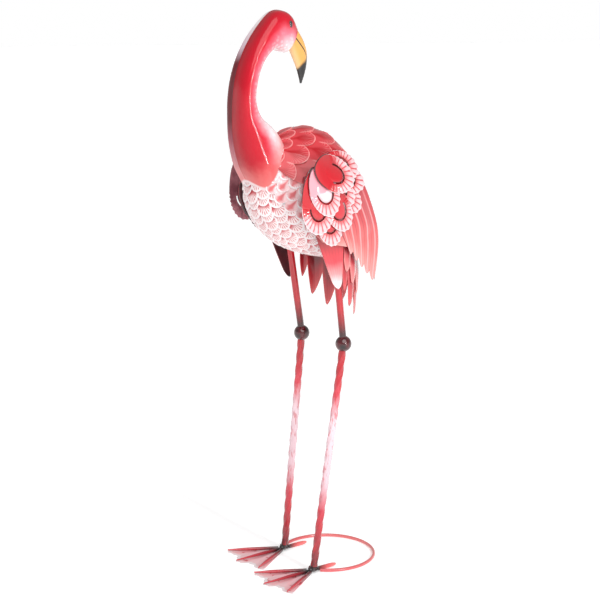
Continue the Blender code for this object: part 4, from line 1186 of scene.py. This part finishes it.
def make_petal(label, side_name, side, tip, half_width, layer, set_back):
    """A petal: a raised tongue, a U-shaped slot and a fan of pressed ribs with a scalloped edge."""
    size = sizes()
    shift = SET_BACK[side_name]
    way = Vector((tip[0] - SHOULDER[0], tip[1] - SHOULDER[1]))
    length = way.length
    way /= length
    across = Vector((-way.y, way.x))
    centre = Vector((SHOULDER[0] + shift, SHOULDER[1])) + way * (length - PETAL_TIP)
    tongue = (TONGUE, 0.22 * length, TONGUE_WIDTH)
    gap = [reach + SLOT_WIDTH for reach in tongue]
    edge = (PETAL_TIP, length - PETAL_TIP - set_back, half_width)
    angles = 6 * size.ribs

    def place(angle, r, lift):
        flat = centre + way * (r * math.cos(angle)) + across * (r * math.sin(angle))
        x = wing_surface(flat.x, flat.y, layer, shift) + lift
        return Vector((side * x, flat.x * MM, flat.y * MM))

    vertices, uv, reach = [place(0.0, 0.0, TONGUE_DOME)], [(0.5, 0.5)], [0.0]

    def ring(radius_of, lift_of, share):
        for i in range(angles):
            angle = 2.0 * math.pi * (i + 0.5) / angles
            r = radius_of(angle)
            vertices.append(place(angle, r, lift_of(angle)))
            uv.append((0.5 + r * math.sin(angle) * 0.01, 0.5 + r * math.cos(angle) * 0.01))
            reach.append(share)

    for share in TONGUE_STATIONS:
        ring(lambda a, k=share: k * petal_radius(a, *tongue),
             lambda a, k=share: TONGUE_DOME * (1.0 - k ** 3), 0.44 * share)
    for t in FAN_STATIONS:
        def radius_of(a, t=t):
            inside, outside = petal_radius(a, *gap), petal_radius(a, *edge)
            scallop = 1.0 + 0.018 * math.cos(size.ribs * a) * smoothstep(0.8, 1.0, t) * (math.cos(a) > -0.4)
            return inside + (outside * scallop - inside) * t

        def lift_of(a, t=t):
            front = smoothstep(-0.45, -0.1, math.cos(a))
            rib = size.rib_height * math.cos(size.ribs * a) * smoothstep(0.05, 0.4, t) * front
            lip = 0.0008 * (1.0 - smoothstep(0.0, 0.25, t)) * front
            return rib + lip + 0.0006 * math.sin(math.pi * t) * front

        ring(radius_of, lift_of, 0.48 + 0.52 * t)
    faces = [(0, 1 + i, 1 + (i + 1) % angles) for i in range(angles)]
    for r in range(len(TONGUE_STATIONS) + len(FAN_STATIONS) - 1):
        for i in range(angles):
            j = (i + 1) % angles
            middle = 360.0 * (i + 1.0) / angles
            if r == len(TONGUE_STATIONS) - 1 and min(middle, 360.0 - middle) <= SLOT_ANGLE:
                continue
            a, b = 1 + r * angles, 1 + (r + 1) * angles
            faces.append((a + i, b + i, b + j, a + j))
    if side < 0.0:
        faces = [tuple(reversed(face)) for face in faces]
    obj = new_object(f"petal_{label}_{side_name}", vertices, faces, uv, {"reach": reach})
    thicken(obj, size.wall, sideways_out(side), "petal_back_enamel")
    finish = "petal_second_enamel" if label == "front_2" else f"petal_{label.split('_')[0]}_enamel"
    finish_piece(obj, finish, (f"wing_plate_{label}_{side_name}",))


def make_flight_sheet(side_name, side):
    """Sheet under the petals that ends in five long flight feathers, each with a quill groove."""
    shift = SET_BACK[side_name]
    per, front, rows = 14, 10, 48
    columns = FLIGHT_FEATHERS * per
    inner = smooth_path(FLIGHT_INNER, 12)
    outer_path = smooth_path(FLIGHT_OUTER, 12)
    front_path = smooth_path(FLIGHT_FRONT, 12)
    grid, uv = [], []
    for r in range(rows + 1):
        t = r / rows
        start, row = along_path(inner, t), []
        for c in range(-front, columns + 1):
            p = (c / per) % 1.0 if c > 0 else 0.0
            notch = FLIGHT_NOTCH * abs(2.0 * p - 1.0) ** 1.6 * (0.5 if c <= 0 or c == columns else 1.0)
            edge_path, f = (outer_path, c / columns) if c >= 0 else (front_path, -c / front)
            end = along_path(edge_path, t)
            y = start[0] + (end[0] - start[0]) * f + shift
            z = start[1] + (end[1] - start[1]) * f + notch * smoothstep(0.55, 1.0, t)
            rest = wing_rest(y, z)
            x = rest + (wing_surface(y, z, BASE_LAYER, shift) - rest) * smoothstep(0.0, 0.30, t)
            fold = smoothstep(0.35, 0.7, t) * (c > 0)
            x += (0.0011 * (1.0 - abs(2.0 * p - 1.0)) - 0.0006 * math.exp(-((p - 0.5) / 0.06) ** 2)) * fold
            row.append(Vector((side * x, y * MM, z * MM)))
            uv.append((c / per, t))
        grid.append(row)
    obj = pressed_sheet(f"flight_sheet_{side_name}", grid, uv, sideways_out(side))
    finish_piece(obj, "flight_enamel", (f"wing_base_{side_name}",))


def make_thigh(side_name, side):
    """Blade that hangs below the wing, with a shallow keel and a rounded tip."""
    tip_x, tip_y, tip_z = THIGH_TIP
    rows, half = 40, 9
    grid, uv = [], []
    for r in range(rows + 1):
        t = r / rows
        width = THIGH_WIDE + (THIGH_NARROW - THIGH_WIDE) * t ** 1.2
        width *= math.sqrt(max(0.02, 1.0 - max(0.0, (t - 0.86) / 0.14) ** 2))
        y = THIGH_ROOT[0] + (tip_y - THIGH_ROOT[0]) * t + SET_BACK[side_name]
        z = THIGH_ROOT[1] + (tip_z - THIGH_ROOT[1]) * t
        row = []
        for c in range(-half, half + 1):
            yy = y + width * c / half
            root_x = body_side(yy * MM, THIGH_ROOT[1] * MM, THIGH_LIFT) / MM
            x = root_x + (tip_x - root_x) * math.sin(0.5 * math.pi * t)
            x = max(x * MM, body_side(yy * MM, z * MM, THIGH_LIFT)) + FIT
            x += 0.0022 * (1.0 - abs(c / half)) * smoothstep(0.3, 0.8, t)
            row.append(Vector((side * x, yy * MM, z * MM)))
            uv.append((0.5 + 0.5 * c / half, t))
        grid.append(row)
    obj = pressed_sheet(f"thigh_blade_{side_name}", grid, uv, sideways_out(side))
    finish_piece(obj, "thigh_enamel", (f"thigh_feather_{side_name}",))


def tail_edge(lobes, notches):
    """Points of a fan's lower edge: lobe count, angle and height, with rounded flanks from tip to notch."""
    points = []
    starts = [start for start, tip in lobes] + [TAIL_END]
    for i, (start, tip) in enumerate(lobes):
        width = starts[i + 1] - start
        peak = LOBE_PEAK if start + width / 2.0 < 0.0 else 1.0 - LOBE_PEAK
        for k in range(12):
            place = k / 12.0
            away = (peak - place) / peak if place < peak else (place - peak) / (1.0 - peak)
            notch = notches[i] if place < peak else notches[i + 1]
            points.append((i + place, start + width * place, tip + (notch - tip) * away ** 1.55))
    points.append((len(lobes), TAIL_END, notches[-1]))
    return points


def make_tail_fan(layer, edge, wider):
    rows = 14
    grid, uv = [[] for _ in range(rows + 1)], []
    for place, degrees, height in edge:
        turn = math.radians(degrees)
        across = (TAIL_HALF_WIDTH * MM + wider) * math.sin(turn)
        back = (TAIL_HALF_DEPTH * MM + wider) * math.cos(turn)
        top = body_underside(across, TAIL_CENTRE * MM + back, TAIL_LIFT)
        low = min(height * MM, top - 0.0018)
        for r in range(rows + 1):
            z = top + (low - top) * r / rows
            hang = max(0.0, top - z) / 0.1
            keel = 0.0020 * (1.0 - abs(2.0 * (place % 1.0) - 1.0)) * smoothstep(0.1, 0.6, r / rows)
            out = 1.0 - 0.05 * hang ** 2 + keel / math.hypot(across, back)
            grid[r].append(Vector((across * out, TAIL_CENTRE * MM + back * out, z)))
    for r in range(rows + 1):
        uv += [(place, r / rows) for place, degrees, height in edge]
    middle = Vector((0.0, TAIL_CENTRE * MM, 0.0)) + FRAME_SHIFT
    obj = pressed_sheet(
        f"tail_lobes_{layer}", grid, uv,
        lambda point: Vector((point.x - middle.x, point.y - middle.y, 0.0)), "tail_inner_enamel")
    finish_piece(obj, f"tail_{layer}_enamel", (f"tail_fan_{layer}",))


def rod(name, tree, points, radii, material, stands_for, diameter, square=False, turns=0.0, step=0.002):
    obj = grow(path_object(points, radii), tree, name, Diameter=diameter, Square=square, Turns=turns,
               Step=step, Material=material_named(material))
    return finish_piece(obj, None, (stands_for,))


def toe_way(degrees):
    angle = math.radians(degrees + FOOT_YAW)
    return Vector((math.sin(angle), -math.cos(angle), 0.0))


def make_leg(tree, side_name, side, hip, knee, ankle):
    size = sizes()
    knee_point = Vector((side * knee[0] * MM, knee[1] * MM, KNEE_HEIGHT))
    ankle_point = Vector((side * ankle[0] * MM, ankle[1] * MM, FOOT_HEIGHT + size.toe_rod / 2.0))
    hip_point = Vector((side * hip[0] * MM, hip[1] * MM, 0.0))
    hip_point.z = body_underside(hip_point.x, hip_point.y, 0.0) + 0.0125
    rod(f"thigh_rod_{side_name}", tree, [knee_point, hip_point], None, "upper_leg_enamel",
        f"upper_leg_{side_name}", size.leg_rod)
    rod(f"shank_{side_name}", tree, [ankle_point, knee_point], None, "shank_enamel",
        f"lower_leg_{side_name}", size.leg_bar, square=True, turns=size.twists, step=0.0016)
    work = bmesh.new()
    bmesh.ops.create_uvsphere(work, u_segments=48, v_segments=32, radius=size.knee / 2.0)
    bmesh.ops.translate(work, verts=work.verts, vec=knee_point + FRAME_SHIFT)
    ball = kept_mesh(f"knee_{side_name}", work)
    finish_piece(ball, "knee_enamel", (f"knee_ball_{side_name}",))


def make_foot(tree, side_name, side, ankle):
    size = sizes()
    centre = Vector((side * ankle[0] * MM, ankle[1] * MM, FOOT_HEIGHT + size.toe_rod / 2.0))
    front = toe_way(0.0)

    def tapered(points):
        count = len(points) - 1
        return points, [1.0 - 0.55 * smoothstep(0.6, 1.0, i / count) for i in range(count + 1)]

    heel = centre - front * HEEL_LENGTH
    spine = [heel.lerp(centre + front * TOE_LENGTH, i / 24.0) for i in range(25)]
    points, radii = tapered(spine)
    radii = [r * (1.0 + 0.33 * (1.0 - smoothstep(0.22, 0.32, i / 24.0))) for i, r in enumerate(radii)]
    radii[0], radii[1] = 0.70, 1.20
    rod(f"middle_toe_{side_name}", tree, points, radii, "heel_toe_enamel",
        f"toe_middle_and_heel_{side_name}", size.toe_rod)
    splay = math.radians(TOE_SPLAY)
    clear = (size.toe_rod / 2.0 * (1.0 + math.cos(splay)) + FIT) / math.sin(splay)
    for toe, angle in (("outer", TOE_SPLAY * side), ("inner", -TOE_SPLAY * side)):
        way = toe_way(angle)
        points, radii = tapered([centre + way * (clear + (TOE_LENGTH - clear) * i / 20.0) for i in range(21)])
        rod(f"{toe}_toe_{side_name}", tree, points, radii, "toe_enamel", f"toe_{toe}_{side_name}",
            size.toe_rod)
    make_web(side_name, Vector((centre.x, centre.y, 0.0)))
    make_weld(side_name, Vector((centre.x, centre.y, WELD_HEIGHT)))


def make_weld(side_name, centre):
    """The lump of weld where the shank and the rods of the foot meet."""
    work = bmesh.new()
    bmesh.ops.create_icosphere(work, subdivisions=4, radius=1.0)
    for vertex in work.verts:
        x, y, z = vertex.co
        lumps = 1.0 + 0.10 * math.sin(4.1 * x + 1.3) * math.sin(5.3 * y) + 0.07 * math.sin(7.7 * z + 3.1 * x)
        vertex.co = vertex.co * WELD_SIZE * lumps + centre + FRAME_SHIFT
    finish_piece(kept_mesh(f"ankle_weld_{side_name}", work), "weld_enamel", ())


def make_web(side_name, centre):
    columns, rows = 72, 12
    outer, inner, uv = [], [], []
    for r in range(rows + 1):
        top, under = [], []
        for c in range(columns + 1):
            f = c / columns
            angle = (TOE_SPLAY + WEB_PAST_TOES) * (2.0 * f - 1.0)
            across = max(0.0, min(1.0, (angle + TOE_SPLAY) / (2.0 * TOE_SPLAY)))
            between = math.sin(2.0 * math.pi * across) ** 2
            far = TOE_LENGTH * (0.992 - 0.11 * between + 0.014 * math.sin(14.0 * math.pi * across))
            point = centre + toe_way(angle) * (WEB_ROOT + (far - WEB_ROOT) * r / rows)
            point.z += 0.0022 * between * math.sin(math.pi * min(1.0, 1.15 * r / rows)) ** 0.7
            under.append(point)
            top.append(point + Vector((0.0, 0.0, WEB_WALL)))
            uv.append((f, r / rows))
        outer.append(top)
        inner.append(under)
    obj = closed_plate(f"web_{side_name}", outer, inner, uv)
    finish_piece(obj, "web_enamel", (f"foot_web_{side_name}",))


def make_ring(tree):
    """Open ring of rod on the ground, from ankle to ankle behind the feet."""
    clear = (sizes().toe_rod + sizes().ring_rod + sizes().leg_bar) / 2.0
    ends = []
    for name, side, hip, knee, ankle in LEGS:
        angle = math.atan2(ankle[1] * MM - RING_CENTRE.y, side * ankle[0] * MM - RING_CENTRE.x)
        angle += 2.0 * math.pi * (side < 0.0)
        ends.append(angle + side * clear / RING_RADIUS)
    points = []
    for i in range(121):
        angle = ends[0] + (ends[1] - ends[0]) * i / 120.0
        points.append(RING_CENTRE + Vector((math.cos(angle), math.sin(angle), 0.0)) * RING_RADIUS)
    rod("ground_hoop", tree, points, None, "ring_enamel", "ground_ring", sizes().ring_rod)


def add_light(name, kind, place, target, energy, **shape):
    light = bpy.data.lights.new(name, kind)
    light.energy = energy
    for key, value in shape.items():
        setattr(light, key, value)
    obj = in_scene(name, light)
    obj.location = place
    obj.rotation_euler = (Vector(target) - Vector(place)).to_track_quat("-Z", "Y").to_euler()


class FLAMINGO_OT_finishes(bpy.types.Operator):
    """Builds the painted finishes"""
    bl_idname = "flamingo.finishes"
    bl_label = "Finishes"

    def execute(self, context):
        make_finishes()
        return {"FINISHED"}


class FLAMINGO_OT_neck(bpy.types.Operator):
    """Builds the two halves of the neck and head"""
    bl_idname = "flamingo.neck"
    bl_label = "Neck and head"

    def execute(self, context):
        for side_name, side in SIDES:
            make_neck_half(side_name, side)
        return {"FINISHED"}


class FLAMINGO_OT_face(bpy.types.Operator):
    """Builds the beak and the eyes"""
    bl_idname = "flamingo.face"
    bl_label = "Beak and eyes"

    def execute(self, context):
        make_beak()
        for side_name, side in SIDES:
            make_eye(side_name, side)
        return {"FINISHED"}


class FLAMINGO_OT_belly(bpy.types.Operator):
    """Builds the belly and its pressed feathers"""
    bl_idname = "flamingo.belly"
    bl_label = "Belly"

    def execute(self, context):
        make_belly_skin()
        make_belly_feathers()
        return {"FINISHED"}


class FLAMINGO_OT_back(bpy.types.Operator):
    """Builds the red back plate and the pale plates on the flanks"""
    bl_idname = "flamingo.back"
    bl_label = "Back and flanks"

    def execute(self, context):
        make_back()
        for side_name, side in SIDES:
            make_flank(side_name, side)
        return {"FINISHED"}


class FLAMINGO_OT_wings(bpy.types.Operator):
    """Builds the petals and the flight sheet of both wings"""
    bl_idname = "flamingo.wings"
    bl_label = "Wings"

    def execute(self, context):
        for side_name, side in SIDES:
            for label, tip, half_width, layer, set_back in PETALS:
                make_petal(label, side_name, side, tip, half_width, layer, set_back)
            make_flight_sheet(side_name, side)
        return {"FINISHED"}


class FLAMINGO_OT_tail(bpy.types.Operator):
    """Builds the thigh feathers and the two tail fans"""
    bl_idname = "flamingo.tail"
    bl_label = "Tail and thighs"

    def execute(self, context):
        for side_name, side in SIDES:
            make_thigh(side_name, side)
        for layer, lobes, notches, wider, slot in TAIL_FANS:
            make_tail_fan(layer, tail_edge(lobes, notches), wider)
        return {"FINISHED"}


class FLAMINGO_OT_legs(bpy.types.Operator):
    """Builds the legs, the feet and the ring on the ground"""
    bl_idname = "flamingo.legs"
    bl_label = "Legs, feet and ring"

    def execute(self, context):
        tree = rod_tree()
        for side_name, side, hip, knee, ankle in LEGS:
            make_leg(tree, side_name, side, hip, knee, ankle)
            make_foot(tree, side_name, side, ankle)
        make_ring(tree)
        return {"FINISHED"}


class FLAMINGO_OT_stage(bpy.types.Operator):
    """Sets the floor, the studio light and the camera"""
    bl_idname = "flamingo.stage"
    bl_label = "Studio"

    def execute(self, context):
        scene = bpy.context.scene
        corners = [Vector((x, y, 0.0)) * FLOOR_REACH - FRAME_SHIFT for x, y in (
            (-1.0, -1.0), (1.0, -1.0), (1.0, 1.0), (-1.0, 1.0))]
        floor = new_object("studio_floor", corners, [(0, 1, 2, 3)])
        paint = Enamel("floor_paint", roughness=0.9, coat=0.0)
        paint.body = paint.mix(paint.mask(paint.noise(0.8), 0.3, 0.7), FLOOR_SHADES[0], FLOOR_SHADES[1])
        paint.shader.inputs["Emission Color"].default_value = (1.0, 1.0, 1.0, 1.0)
        paint.shader.inputs["Emission Strength"].default_value = FLOOR_GLOW
        floor.data.materials.append(paint.finish(ripple=0.0))
        world = bpy.data.worlds.new("studio")
        world.use_nodes = True
        nodes, links = world.node_tree.nodes, world.node_tree.links
        direction = nodes.new("ShaderNodeTexCoord")
        parts = nodes.new("ShaderNodeSeparateXYZ")
        glow = nodes.new("ShaderNodeMapRange")
        for key, number in (("From Min", 0.08), ("From Max", 0.22), ("To Min", 1.0), ("To Max", 0.42)):
            glow.inputs[key].default_value = number
        links.new(direction.outputs["Generated"], parts.inputs[0])
        links.new(parts.outputs[2], glow.inputs["Value"])
        links.new(glow.outputs[0], nodes["Background"].inputs["Strength"])
        nodes["Background"].inputs["Color"].default_value = (1.0, 1.0, 1.0, 1.0)
        scene.world = world
        scene.view_settings.view_transform = "Standard"
        add_light("sun", "SUN", (2.0, -0.6, 2.6), (0.0, 0.0, 0.5), 1.6, angle=math.radians(55.0))
        add_light("strip", "AREA", (2.4, 0.25, 1.2), (0.0, -0.1, 0.8), 22.0, shape="RECTANGLE", size=0.036,
                  size_y=1.3)
        camera = bpy.data.cameras.new("camera")
        camera.lens = CAMERA_LENS
        camera.sensor_width = 36.0
        eye = in_scene("camera", camera)
        way = Vector((math.sin(CAMERA_AZIMUTH), -math.cos(CAMERA_AZIMUTH), 0.0))
        eye.location = way * CAMERA_DISTANCE + Vector((0.0, 0.0, CAMERA_HEIGHT)) + FRAME_SHIFT
        look = way * -math.cos(CAMERA_PITCH) - Vector((0.0, 0.0, math.sin(CAMERA_PITCH)))
        eye.rotation_euler = look.to_track_quat("-Z", "Y").to_euler()
        scene.camera = eye
        return {"FINISHED"}


STEPS = (
    FLAMINGO_OT_finishes, FLAMINGO_OT_neck, FLAMINGO_OT_face, FLAMINGO_OT_belly, FLAMINGO_OT_back,
    FLAMINGO_OT_wings, FLAMINGO_OT_tail, FLAMINGO_OT_legs, FLAMINGO_OT_stage,
)


class FLAMINGO_PT_panel(bpy.types.Panel):
    """Lists the sizes, the colours and the steps"""
    bl_label = "Garden flamingo"
    bl_space_type = "VIEW_3D"
    bl_region_type = "UI"
    bl_category = "Flamingo"

    def draw(self, context):
        for group in (context.scene.flamingo_sizes, context.scene.flamingo_colours):
            box = self.layout.box()
            for key in type(group).__annotations__:
                box.prop(group, key)
        for step in STEPS:
            self.layout.operator(step.bl_idname)


CLASSES = (FlamingoSizes, FlamingoColours, *STEPS, FLAMINGO_PT_panel)


def register():
    for cls in CLASSES:
        bpy.utils.register_class(cls)
    bpy.types.Scene.flamingo_sizes = bpy.props.PointerProperty(type=FlamingoSizes)
    bpy.types.Scene.flamingo_colours = bpy.props.PointerProperty(type=FlamingoColours)


def unregister():
    del bpy.types.Scene.flamingo_colours
    del bpy.types.Scene.flamingo_sizes
    for cls in reversed(CLASSES):
        bpy.utils.unregister_class(cls)


def main():
    register()
    for step in (
        bpy.ops.flamingo.finishes, bpy.ops.flamingo.neck, bpy.ops.flamingo.face, bpy.ops.flamingo.belly,
        bpy.ops.flamingo.back, bpy.ops.flamingo.wings, bpy.ops.flamingo.tail, bpy.ops.flamingo.legs,
        bpy.ops.flamingo.stage,
    ):
        step()


if __name__ == "__main__":
    main()
